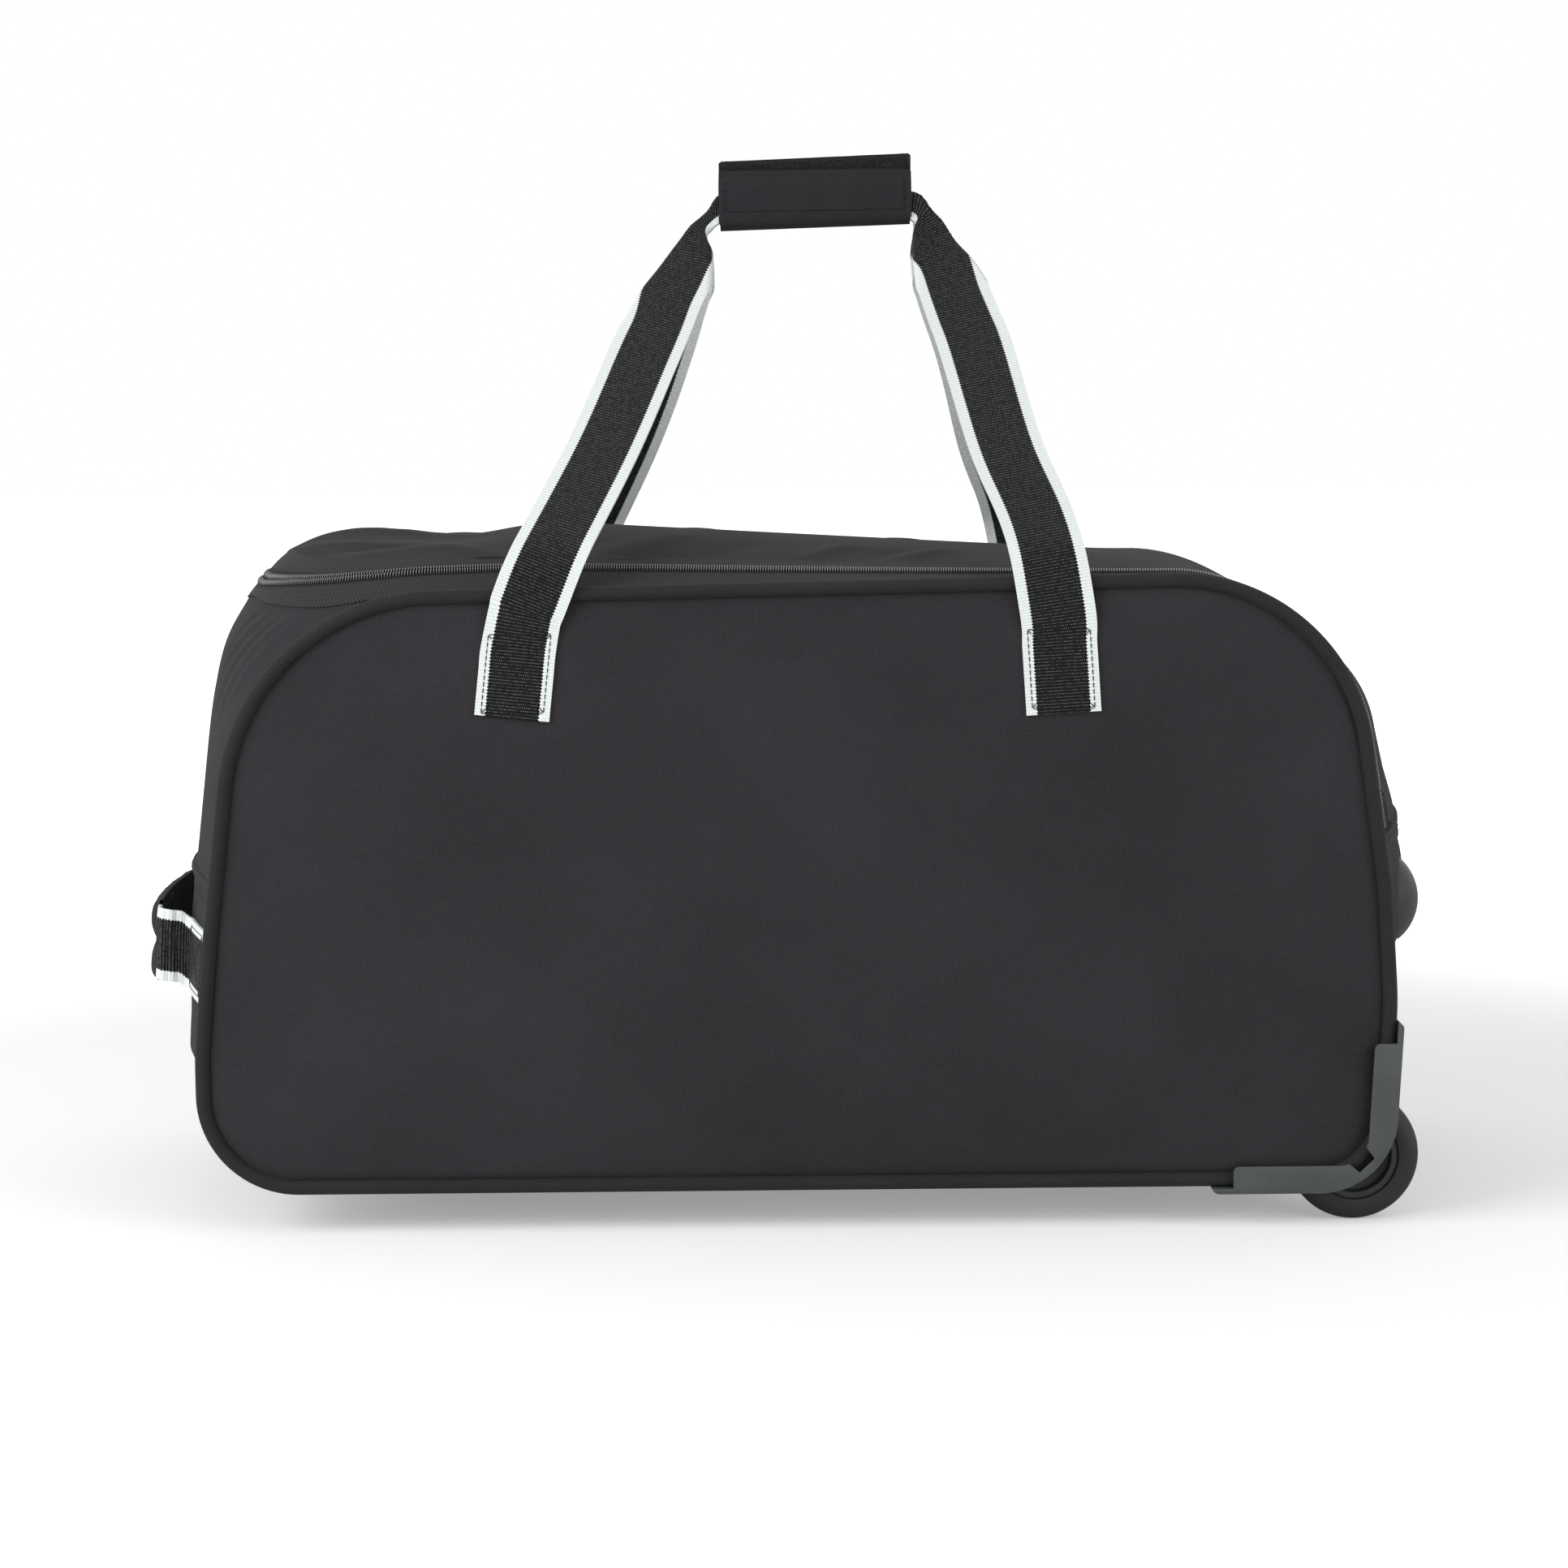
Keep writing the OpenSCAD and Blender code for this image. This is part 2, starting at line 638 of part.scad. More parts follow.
// Carry handle: a strap up the panel, in over the piping to the grip, where it is folded to half its width
fold_w = webbing_w / 2 + 1;
fold_t = 2 * webbing_t;
strap_z = grip_z - 5;
strap_y = fold_t / 2 + 0.8;
strap_low = strap_z - fold_w / 2 - 4;
rise_l = seam_z + panel_h - hinge_z + 16;
slant_l = norm([hinge_y - strap_y, strap_low - hinge_z - rise_l]);
slant = atan2(hinge_y - strap_y, strap_low - hinge_z - rise_l);
// Height along the strap turned into a place: straight up, then slanted in, then straight up in the grip
bend = 14;
function strap_place(q) =
    let (
        over = q - rise_l,
        f = min(1, max(0, (over + bend) / (2 * bend))),
        in_l = over > bend ? min(over, slant_l) : bend * f * f
    )
    [-hinge_y + in_l * sin(slant), hinge_z + q - in_l * (1 - cos(slant))];
grip_q = rise_l + slant_l + strap_z - strap_low;
grip_ends = [grip_x - grip_l / 2, grip_x + grip_l / 2];
// A leg from its sewn end to the grip: share of its height, share of its way in, share of its fold
left_leg = [
    [0, 0, 0], [0.03, 0.012, 0], [0.07, 0.05, 0], [0.23, 0.26, 0],
    [0.48, 0.51, 0], [0.69, 0.7, 0.1], [0.83, 0.82, 0.75], [0.92, 0.9, 1]];
right_leg = [
    [0, 0, 0], [0.03, 0.008, 0], [0.07, 0.03, 0], [0.23, 0.17, 0],
    [0.48, 0.42, 0], [0.69, 0.62, 0.1], [0.83, 0.77, 0.6], [0.92, 0.87, 1]];
grip_in = 28;
grip_turn = 4;
// Points of the strap's middle line: place along X, height along the strap, width, thickness
function leg_point(p, i) = [mix(handle_xs[i], grip_ends[i], p[1]), p[0] * grip_q,
    mix(webbing_w, fold_w, p[2]), mix(webbing_t, fold_t, p[2])];
function grip_point(x, drop) = [x, grip_q - drop, fold_w, fold_t];
strap_points = concat(
    [for (p = left_leg) leg_point(p, 0)],
    [grip_point(grip_ends[0] - grip_turn, 4), grip_point(grip_ends[0] + grip_turn, 0)],
    [grip_point(grip_ends[0] + grip_in, 0), grip_point(grip_ends[1] - grip_in, 0)],
    [grip_point(grip_ends[1] - grip_turn, 0), grip_point(grip_ends[1] + grip_turn, 4)],
    [for (i = [len(right_leg) - 1:-1:0]) leg_point(right_leg[i], 1)]);
function spline(p, q, r, s, f) = 0.5 * (2 * q + (r - p) * f + (2 * p - 5 * q + 4 * r - s) * f * f
    + (3 * q - p - 3 * r + s) * f * f * f);
strap_steps = 3;
function smoothed(pts) =
    let (n = len(pts))
    concat([for (i = [0:n - 2]) for (j = [0:strap_steps - 1])
        spline(pts[max(0, i - 1)], pts[i], pts[i + 1], pts[min(n - 1, i + 2)], j / strap_steps)],
        [pts[n - 1]]);
strap_line = smoothed(strap_points);
strap_last = len(strap_line) - 1;
function strap_ring(i, side) =
    let (
        c = strap_line[i],
        a = strap_line[max(0, i - 1)],
        b = strap_line[min(strap_last, i + 1)],
        d = i == 0 ? [0, 1] : i == strap_last ? [0, -1] : unit([b[0] - a[0], b[1] - a[1]]),
        w = [d[1], -d[0]] * c[2] / 2,
        e0 = strap_place(c[1] + w[1]),
        e1 = strap_place(c[1] - w[1]),
        mid = strap_place(c[1]),
        up = strap_place(c[1] + 1) - mid,
        out = unit([-up[1], up[0]]) * c[3] / 2,
        p0 = [c[0] + w[0], e0[0], e0[1]],
        p1 = [c[0] - w[0], e1[0], e1[1]],
        o = [0, out[0], out[1]],
        ring = [p1 - o, p1 + o, p0 + o, p0 - o]
    )
    side < 0 ? ring : [for (j = [3:-1:0]) [ring[j][0], -ring[j][1], ring[j][2]]];
module carry_handle(side) {
    loft([for (i = [0:strap_last]) strap_ring(i, side)]);
}
module back_carry_handle() { color(webbing_black) carry_handle(-1); }
module front_carry_handle() { color(webbing_black) carry_handle(1); }

// Grip: a padded wrap folded at the bottom and closed above the straps by hook and loop
wrap_t = 2;
wrap_y = strap_y + fold_t / 2 + 1.2 + wrap_t / 2;
wrap_low = strap_z - fold_w / 2 - 5;
wrap_shoulder = strap_z + fold_w / 2 + 0.5;
wrap_top = wrap_low + grip_h;
strip_t = 1.4;
closed_y = strip_t + gap / 2 + wrap_t / 2;
flap_top = wrap_top - 5;
// Outline of a band of even thickness along a line of points
function band_side(pts, off) = [for (i = [0:len(pts) - 1])
    let (
        a = pts[max(0, i - 1)],
        b = pts[min(len(pts) - 1, i + 1)],
        d = unit(b - a)
    )
    pts[i] + [-d[1], d[0]] * off];
module band(pts, t) {
    back = band_side(pts, -t / 2);
    polygon(concat(band_side(pts, t / 2), [for (i = [len(pts) - 1:-1:0]) back[i]]));
}
module grip_run(x0, l) {
    translate([x0, 0, 0])
        rotate([90, 0, 90])
            linear_extrude(l)
                children();
}
fold_r = 5;
fold_z = wrap_low + wrap_t / 2 + fold_r;
neck = 5;
strip_low = wrap_shoulder + neck + 0.5;
// One wall of the wrap from the fold's end up to its closing edge
function wrap_wall(side, low, top) = [
    [side * wrap_y, low], [side * wrap_y, wrap_shoulder - 1],
    [side * (wrap_y + closed_y) / 2, wrap_shoulder + neck / 2],
    [side * closed_y, wrap_shoulder + neck], [side * closed_y, top]];
fold_line = concat(
    [for (a = spaced(180, 360, 8)) if (a < 360) [wrap_y * cos(a), fold_z + fold_r * sin(a)]],
    wrap_wall(1, fold_z, wrap_top));
flap_line = wrap_wall(-1, fold_z + 2 * gap, flap_top);
strip_inset = 4;
module grip_wrap() {
    way_out = 9;
    color(fabric_dark) difference() {
        grip_run(grip_ends[0], grip_l) band(fold_line, wrap_t);
        for (x = [grip_ends[0] - 1, grip_ends[1] + 1 - way_out]) {
            translate([x, -2 * wrap_y, wrap_low - 1])
                cube([way_out, 4 * wrap_y, fold_z - wrap_low + 1]);
        }
    }
}
module grip_flap() {
    color(fabric_dark) grip_run(grip_ends[0], grip_l) band(flap_line, wrap_t);
}
module closing_strip(side, top) {
    y = side * (gap / 2 + strip_t / 2);
    grip_run(grip_ends[0] + strip_inset, grip_l - 2 * strip_inset)
        translate([y - strip_t / 2, strip_low])
            square([strip_t, top - strip_low - 1]);
}
module grip_loop_strip() { color(webbing_black) closing_strip(1, wrap_top); }
module grip_hook_strip() { color(webbing_black) closing_strip(-1, flap_top); }

// End handle: webbing sewn flat beside each seam, with a free loop between and a fabric grip on it.
// Each place on it has a distance across the end, a height off the fabric and the way its face looks.
s_end_handle = at_height(handle_low_edge, seam_z + end_handle_h);
function end_ring(p, w, t) =
    let (dy = p[2] * t / 2, dl = p[3] * t / 2)
    [skin(s_end_handle + w / 2, p[0] - dy, p[1] - dl), skin(s_end_handle + w / 2, p[0] + dy, p[1] + dl),
        skin(s_end_handle - w / 2, p[0] + dy, p[1] + dl), skin(s_end_handle - w / 2, p[0] - dy, p[1] - dl)];
end_lift = fabric_t / 2 + 2 * seat + webbing_t / 2;
loop_top = end_lift + end_handle_reach;
loop_r = 4 * webbing_t;
loop_foot_r = 2 * webbing_t;
loop_foot_y = end_handle_half + loop_foot_r;
sewn_edge = gusset_half - 3;
cover_half = min(end_grip_half, end_handle_half - loop_r - seat);
loop_steps = 12;
bend_steps = 4;
loop_grip = [for (y = spaced(-cover_half, cover_half, loop_steps)) [y, loop_top, 0, 1]];
loop_side = concat(
    [for (a = spaced(90, 0, bend_steps))
        let (c = cos(a), d = sin(a))
        [end_handle_half + loop_r * (c - 1), loop_top + loop_r * (d - 1), c, d]],
    [for (a = spaced(180, 270, bend_steps))
        let (c = cos(a), d = sin(a))
        [loop_foot_y + loop_foot_r * c, end_lift + loop_foot_r * (1 + d), -c, -d]],
    [for (y = spaced(loop_foot_y, sewn_edge, 3)) if (y > loop_foot_y) [y, end_lift, 0, 1]]);
loop_back = [for (i = [len(loop_side) - 1:-1:0])
    let (p = loop_side[i])
    [-p[0], p[1], -p[2], p[3]]];
module end_handle_strap() {
    color(webbing_black)
        loft([for (p = concat(loop_back, loop_grip, loop_side)) end_ring(p, webbing_w, webbing_t)]);
}
cover_t = 1.6;
slack_w = webbing_w + 2 * seat;
slack_t = webbing_t + 2 * seat;
function end_cover(p) = end_ring(p, slack_w + 2 * cover_t, slack_t + 2 * cover_t);
module end_handle_grip() {
    color(fabric_dark)
        sleeve([for (p = loop_grip) end_cover(p)], [for (p = loop_grip) end_ring(p, slack_w, slack_t)]);
}

// Corner guard: a rounded skin round the lower corner, a lip on the side panel and a well for the wheel.
// Its upright arm leans out with the seam, and the lip is notched where its two arms meet.
guard_off = piping_r + gap;
guard_lean = -edge_angle[wheel_low_edge];
lean_share = (1 - sin(guard_lean)) / cos(guard_lean);
guard_in_z = seam_z - guard_off;
guard_out_y = half_w + guard_off + guard_t;
guard_z1 = guard_in_z + guard_h;
// Where the guard's inside face, moved out by some amount, crosses a height
function guard_foot_x(out) = half_l - guard_top_splay + (guard_off + out) * lean_share;
function guard_face_x(out, z) = guard_foot_x(out) + (z - guard_in_z + out) * tan(guard_lean);
guard_x0 = guard_face_x(0, guard_z1) - guard_l;
well_out_y = half_w - guard_off;
wheel_y = (well_out_y + well_in_y) / 2;
// Everything inside the guard's face moved out by some amount, with a corner of radius r
function region_centre(out, r) = [guard_foot_x(out) - r * lean_share, guard_in_z - out + r];
module corner_region(out, r, x0, z1) {
    c = region_centre(out, r);
    z0 = guard_in_z - out;
    polygon([[x0, z0], [c[0], z0], c + r * [cos(guard_lean), -sin(guard_lean)],
        [guard_face_x(out, z1), z1], [x0, z1]]);
    translate(c)
        circle(r);
}
module upright(y0, y1) {
    translate([0, y1, 0])
        rotate([90, 0, 0])
            linear_extrude(y1 - y0)
                children();
}
// What rounding takes off a corner that lies at the origin, below and left of it
module rounding(r) {
    difference() {
        translate([-r, -r])
            square(r + 1);
        translate([-r, -r])
            circle(r);
    }
}
module guard_skin() {
    end_r = 1.6 * guard_t;
    difference() {
        corner_region(guard_t, guard_r + guard_t, guard_x0, guard_z1);
        corner_region(0, guard_r, guard_x0 - 1, guard_z1 + 1);
        translate([guard_x0, guard_in_z - guard_t])
            rotate(180)
                rounding(end_r);
        translate([guard_face_x(guard_t, guard_z1), guard_z1])
            rounding(end_r);
    }
}
lip_r = 18;
module guard_lip() {
    short = 13;
    end_r = 3;
    notch = 12;
    notch_flare = 3.5;
    notch_rest = 1.7;
    notch_reach = 30;
    x0 = guard_x0 + short;
    z1 = guard_z1 - short;
    difference() {
        corner_region(weld, guard_r + weld, x0, z1);
        corner_region(-lip_w, lip_r, guard_x0, guard_z1);
        translate([x0, guard_in_z + lip_w])
            mirror([1, 0])
                rounding(end_r);
        translate([guard_face_x(-lip_w, z1), z1])
            mirror([1, 0])
                rounding(end_r);
        translate(region_centre(0, guard_r))
            rotate(-45 - guard_lean / 2)
                polygon([[guard_r - notch_rest, -notch / 2], [guard_r - notch_rest, notch / 2],
                    [guard_r - notch_reach, notch / 2 + notch_flare],
                    [guard_r - notch_reach, -notch / 2 - notch_flare]]);
    }
}
module at_axle() {
    translate([wheel_x, wheel_r])
        children();
}
module well_wall() {
    intersection() {
        corner_region(weld, guard_r + weld, guard_x0, guard_z1);
        at_axle() circle(well_r + well_t);
    }
}
boss_r = 6;
module wheel_guard() {
    boss_low = guard_in_z - weld;
    boss_high = seam_z - fabric_t / 2;
    end_boss = fabric_t / 2 + seat;
    difference() {
        union() {
            upright(guard_in_y, guard_out_y) guard_skin();
            upright(guard_out_y - guard_t, guard_out_y) guard_lip();
            difference() {
                upright(well_in_y, well_out_y) well_wall();
                upright(well_in_y + well_t, well_out_y - well_t) at_axle() circle(well_r);
            }
            for (y = rivet_ys) {
                translate([rivet_x, y, boss_low])
                    cylinder(r = boss_r, h = boss_high - boss_low);
            }
            at_end_rivet(end_rivet_y)
                translate([0, 0, end_boss])
                    cylinder(r = boss_r, h = guard_off + weld - end_boss);
        }
        upright(well_in_y + well_t, well_out_y - well_t) at_axle() circle(well_r);
        upright(well_in_y - 1, well_out_y + 1) at_axle() circle(axle_r);
        for (y = rivet_ys) {
            translate([rivet_x, y, seam_z - hole_reach])
                cylinder(r = hole_r, h = 2 * hole_reach);
        }
        at_end_rivet(end_rivet_y)
            cylinder(r = hole_r, h = hole_reach);
    }
}
module on_side(side) {
    mirror([0, side < 0 ? 1 : 0, 0])
        children();
}
module back_wheel_guard() { color(plastic_grey) on_side(-1) wheel_guard(); }
module front_wheel_guard() { color(plastic_grey) on_side(1) wheel_guard(); }

// Axle pressed through both walls of the well, flush with their outsides
module axle() {
    upright(well_in_y, well_out_y) at_axle() circle(axle_r);
}
module back_axle() { color(steel) on_side(-1) axle(); }
module front_axle() { color(steel) on_side(1) axle(); }

// Wheel: a soft tyre on a dished hub with two bearings
hub_r = 0.67 * wheel_r;
hub_w = wheel_w - 3;
rim_r = hub_r - 4;
barrel_r = bearing_r + 2.5;
web_t = 5;
module turned() {
    translate([wheel_x, wheel_y, wheel_r])
        rotate([90, 0, 0])
            rotate_extrude($fn = 72)
                children();
}
module tyre() {
    round_r = 8;
    w = wheel_w / 2;
    turned() {
        translate([hub_r, -w])
            square([wheel_r - round_r - hub_r, wheel_w]);
        translate([hub_r, round_r - w])
            square([wheel_r - hub_r, wheel_w - 2 * round_r]);
        for (side = [-1, 1]) {
            translate([wheel_r - round_r, side * (w - round_r)])
                intersection() {
                    circle(round_r);
                    translate([0, -round_r])
                        square([round_r, 2 * round_r]);
                }
        }
    }
}
module hub() {
    turned() {
        difference() {
            translate([axle_r + 1.5, -hub_w / 2])
                square([hub_r - axle_r - 1.5, hub_w]);
            for (side = [-1, 1]) {
                translate([barrel_r, side * (web_t + hub_w) / 2 - hub_w / 2])
                    square([rim_r - barrel_r, hub_w]);
                translate([0, side * (hub_w - bearing_w) - hub_w / 2])
                    square([bearing_r, hub_w]);
            }
        }
    }
}
module bearings() {
    turned() {
        for (side = [-1, 1]) {
            translate([axle_r + running, side * (hub_w - bearing_w) / 2 - bearing_w / 2])
                square([bearing_r - axle_r - running, bearing_w]);
        }
    }
}
module back_tyre() { color(rubber_grey) on_side(-1) tyre(); }
module back_hub() { color(plastic_grey) on_side(-1) hub(); }
module back_bearings() { color(steel) on_side(-1) bearings(); }
module front_tyre() { color(rubber_grey) on_side(1) tyre(); }
module front_hub() { color(plastic_grey) on_side(1) hub(); }
module front_bearings() { color(steel) on_side(1) bearings(); }

// Feet: shallow domes, one pair to stand the bag on its wheel end and one pair to level its base
function dome_centre(h, tip_r) = (h * h + tip_r * tip_r - foot_r * foot_r) / (2 * h);
function dome_r(h, tip_r) = norm([foot_r, dome_centre(h, tip_r)]);
module dome_foot(h, tip_r) {
    difference() {
        intersection() {
            cylinder(r = foot_r, h = h);
            translate([0, 0, dome_centre(h, tip_r)])
                sphere(dome_r(h, tip_r), $fn = 96);
        }
        translate([0, 0, -1])
            cylinder(r = hole_r, h = 0.6 * h + 1);
    }
}
module end_foot(side) {
    translate(foot_base(side))
        towards(foot_axis(side))
            dome_foot(end_foot_h, 0);
}
module back_end_foot() { color(plastic_grey) end_foot(-1); }
module front_end_foot() { color(plastic_grey) end_foot(1); }
base_foot_h = seam_z - fabric_t / 2;
base_tip_r = 0.5 * foot_r;
module base_foot(side) {
    translate([base_foot_x, side * base_foot_y, base_foot_h])
        rotate([180, 0, 0])
            dome_foot(base_foot_h, base_tip_r);
}
module back_base_foot() { color(plastic_grey) base_foot(-1); }
module front_base_foot() { color(plastic_grey) base_foot(1); }

// Rivets: a head each side of what they clamp
module rivet(l) {
    head_t = 1.2;
    head_r = 2.2 * rivet_r;
    translate([0, 0, -head_t])
        cylinder(r = head_r, h = head_t);
    cylinder(r = rivet_r, h = l);
    translate([0, 0, l])
        cylinder(r = head_r, h = head_t);
}
module guard_rivets() {
    floor_l = board_top - guard_in_z + guard_t;
    end_in = fabric_t / 2 + running;
    end_l = end_in + guard_off + guard_t;
    color(steel) {
        for (side = [-1, 1]) {
            for (y = rivet_ys) {
                translate([rivet_x, side * y, guard_in_z - guard_t])
                    rivet(floor_l);
            }
            at_end_rivet(side * end_rivet_y)
                translate([0, 0, -end_in])
                    rivet(end_l);
        }
    }
}
// Screw that holds a foot from inside, its head on the board or the fabric
module foot_screw(l) {
    head_t = 1.4;
    head_r = 3 * rivet_r;
    translate([0, 0, -l])
        cylinder(r = rivet_r, h = l);
    cylinder(r = head_r, h = head_t);
}
module foot_rivets() {
    base_l = board_top - base_foot_h + 0.5 * base_foot_h;
    end_l = fabric_t + 2 * foot_lift + 0.5 * end_foot_h;
    color(steel) {
        for (side = [-1, 1]) {
            translate([base_foot_x, side * base_foot_y, board_top])
                foot_screw(base_l);
            translate(foot_base(side) - foot_axis(side) * (fabric_t + 2 * foot_lift))
                towards(-foot_axis(side))
                    foot_screw(end_l);
        }
    }
}

// The origin is under the middle of the whole bag, end handle and feet included
reach_foot = foot_base(1)[0] + foot_axis(1)[0] * dome_centre(end_foot_h, 0) + dome_r(end_foot_h, 0);
reach_swell = max([for (s = rows_between(s_well_top, s_wheel_seam, fine_step)) skin(s, 0, fabric_t / 2)[0]]);
reach_end = max(reach_foot, reach_swell);
reach_handle = -min([for (p = end_cover([0, loop_top, 0, 1])) p[0]]);
centre_x = (reach_handle - reach_end) / 2;
module placed() {
    translate([centre_x, 0, 0])
        children();
}

placed() back_panel();
placed() front_panel();
placed() back_piping();
placed() front_piping();
placed() base_panel();
placed() wheel_corner_panel();
placed() wheel_end_panel();
placed() handle_end_panel();
placed() handle_end_upper();
placed() back_zip_band();
placed() front_zip_band();
placed() lid_hinge_strip();
placed() zip_coil_body();
placed() base_board();
placed() back_handle_ends();
placed() front_handle_ends();
placed() back_wheel_guard();
placed() front_wheel_guard();
placed() back_axle();
placed() front_axle();
placed() guard_rivets();
placed() back_end_foot();
placed() front_end_foot();
placed() back_base_foot();
placed() front_base_foot();
placed() foot_rivets();
placed() lid_panel();
placed() zip_coil_lid();
placed() back_carry_handle();
placed() front_carry_handle();
placed() grip_wrap();
placed() grip_loop_strip();
placed() grip_flap();
placed() grip_hook_strip();
placed() end_handle_strap();
placed() end_handle_grip();
placed() back_tyre();
placed() back_hub();
placed() back_bearings();
placed() front_tyre();
placed() front_hub();
placed() front_bearings();
placed() zip_slider();
placed() zip_pull();
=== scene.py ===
import math
import bpy
import numpy as np
from mathutils import Matrix, Vector


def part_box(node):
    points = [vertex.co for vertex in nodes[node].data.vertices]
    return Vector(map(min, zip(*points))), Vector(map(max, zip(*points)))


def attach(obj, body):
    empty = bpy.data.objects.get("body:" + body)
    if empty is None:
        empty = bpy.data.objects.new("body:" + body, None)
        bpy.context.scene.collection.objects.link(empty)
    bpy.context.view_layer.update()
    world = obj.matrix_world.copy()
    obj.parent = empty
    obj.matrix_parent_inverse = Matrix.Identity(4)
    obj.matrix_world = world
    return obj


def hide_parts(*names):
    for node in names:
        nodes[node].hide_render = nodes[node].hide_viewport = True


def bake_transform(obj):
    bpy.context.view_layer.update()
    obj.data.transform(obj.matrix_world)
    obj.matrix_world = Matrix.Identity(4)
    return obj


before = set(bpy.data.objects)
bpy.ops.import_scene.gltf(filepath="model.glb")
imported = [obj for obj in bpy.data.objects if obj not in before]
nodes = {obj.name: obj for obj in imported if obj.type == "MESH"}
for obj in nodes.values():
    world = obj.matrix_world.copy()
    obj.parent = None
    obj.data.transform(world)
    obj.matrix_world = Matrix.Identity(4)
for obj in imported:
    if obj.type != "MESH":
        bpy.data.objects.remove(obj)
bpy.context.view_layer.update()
print("frame loaded with", len(nodes), "solids")

# the bag's seam line and stuffing, in metres
bag = {
    "halfLength": 0.347, "halfWidth": 0.155, "height": 0.353, "seamZ": 0.0276, "bandHalf": 0.1508,
    "fabric": 0.002, "piping": 0.0042, "crown": 0.016, "groove": 0.0016, "grooveWide": 0.0035,
    # x, height, radius, swell before, swell after, extra swell halfway
    "corners": [(-0.347, 0, 0.055, 0.0135, 0, 0), (0.341, 0, 0.045, 0, 0, 0), (0.347, 0.104, 0.2, 0, 0, 0),
                (0.343, 0.172, 0.15, 0.03, 0.03, 0), (0.318, 0.353, 0.112, 0.0225, 0.008, -0.014),
                (-0.317, 0.344, 0.125, 0.04, 0.03, 0.015), (-0.340857, 0.145, 0.18, 0.03, 0.03, 0),
                (-0.347, 0.08, 0.18, 0.0255, 0.0255, 0)],
    "wheelInset": 0.0192, "arcSteps": 60, "runSteps": 40, "edgeSteps": 900,
}
tyreLow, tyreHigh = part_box("back_tyre")
shiftX = (tyreLow.x + tyreHigh.x) / 2 - (bag["halfLength"] - bag["wheelInset"])


# working the mesh tools
def clearSelection():
    if bpy.context.object and bpy.context.object.mode != "OBJECT":
        bpy.ops.object.mode_set(mode="OBJECT")
    bpy.ops.object.select_all(action="DESELECT")


def pick(obj):
    clearSelection()
    obj.select_set(True)
    bpy.context.view_layer.objects.active = obj
    return obj


def readPoints(obj):
    co = np.zeros(len(obj.data.vertices) * 3)
    obj.data.vertices.foreach_get("co", co)
    return co.reshape(-1, 3)


def readNormals(obj):
    normals = np.zeros(len(obj.data.vertices) * 3)
    obj.data.vertices.foreach_get("normal", normals)
    return normals.reshape(-1, 3)


def writePoints(obj, co):
    obj.data.vertices.foreach_set("co", np.asarray(co, float).ravel())
    obj.data.update()


def applyModifier(obj, name, kind, **settings):
    pick(obj)
    mod = obj.modifiers.new(name, kind)
    for key, value in settings.items():
        setattr(mod, key, value)
    bpy.ops.object.modifier_apply(modifier=mod.name)


def editMesh(obj, *steps):
    pick(obj)
    bpy.ops.object.mode_set(mode="EDIT")
    bpy.ops.mesh.select_all(action="SELECT")
    for step in steps:
        step()
    bpy.ops.object.mode_set(mode="OBJECT")


def weld(dist=0.00002):
    return lambda: bpy.ops.mesh.remove_doubles(threshold=dist)


def faceOut():
    bpy.ops.mesh.normals_make_consistent(inside=False)


def smooth(obj, angle=None):
    pick(obj)
    if angle is None:
        bpy.ops.object.shade_smooth()
    else:
        bpy.ops.object.shade_smooth_by_angle(angle=math.radians(angle))
    return obj


# a grid laid over a surface: place(a, b) gives points and a flat cut in metres, for a across and b along
def layGrid(name, across, along, place):
    clearSelection()
    bpy.ops.mesh.primitive_grid_add(x_subdivisions=across, y_subdivisions=along, size=1)
    obj = bpy.context.object
    obj.name = obj.data.name = name
    flat = readPoints(obj)
    points, cut = place(flat[:, 0] + 0.5, flat[:, 1] + 0.5)
    writePoints(obj, points)
    corner = np.zeros(len(obj.data.loops), int)
    obj.data.loops.foreach_get("vertex_index", corner)
    obj.data.uv_layers[0].data.foreach_set("uv", np.asarray(cut)[corner].ravel())
    return obj


def thicken(obj, thickness, offset=0.0):
    settings = {"thickness": thickness, "offset": offset, "use_quality_normals": True}
    applyModifier(obj, "Thickness", "SOLIDIFY", **settings)
    return smooth(obj, 50)


def soften(obj, levels=1):
    applyModifier(obj, "Soft", "SUBSURF", levels=levels, render_levels=levels)
    return obj


# lines and numbers used all over
def eased(share):
    return share * share * (3 - 2 * share)


def unit(vectors):
    return vectors / np.linalg.norm(vectors, axis=1)[:, None]


def runAlong(points):
    return np.r_[0, np.cumsum(np.linalg.norm(np.diff(points, axis=0), axis=1))]


def atRun(d, run, rows):
    return np.stack([np.interp(d, run, rows[:, k]) for k in range(rows.shape[1])], -1)


# many copies of one small mesh, each set by an origin and three directions
def copyAlong(name, template, origins, sides, ways, ups):
    pts = readPoints(template)
    polys = [list(p.vertices) for p in template.data.polygons]
    count, size = len(origins), len(pts)
    co = (origins[:, None] + sides[:, None] * pts[None, :, :1] + ways[:, None] * pts[None, :, 1:2]
          + ups[:, None] * pts[None, :, 2:])
    faces = [[v + k * size for v in p] for k in range(count) for p in polys]
    mesh = bpy.data.meshes.new(name)
    mesh.from_pydata(co.reshape(-1, 3).tolist(), [], faces)
    if template.data.uv_layers:
        cut = np.zeros(len(template.data.loops) * 2)
        template.data.uv_layers[0].data.foreach_get("uv", cut)
        mesh.uv_layers.new(name="UVMap").data.foreach_set("uv", np.tile(cut, count))
    obj = bpy.data.objects.new(name, mesh)
    bpy.context.scene.collection.objects.link(obj)
    return obj


# the seam line
def facing(degrees):
    return np.array([math.cos(math.radians(degrees)), math.sin(math.radians(degrees))])


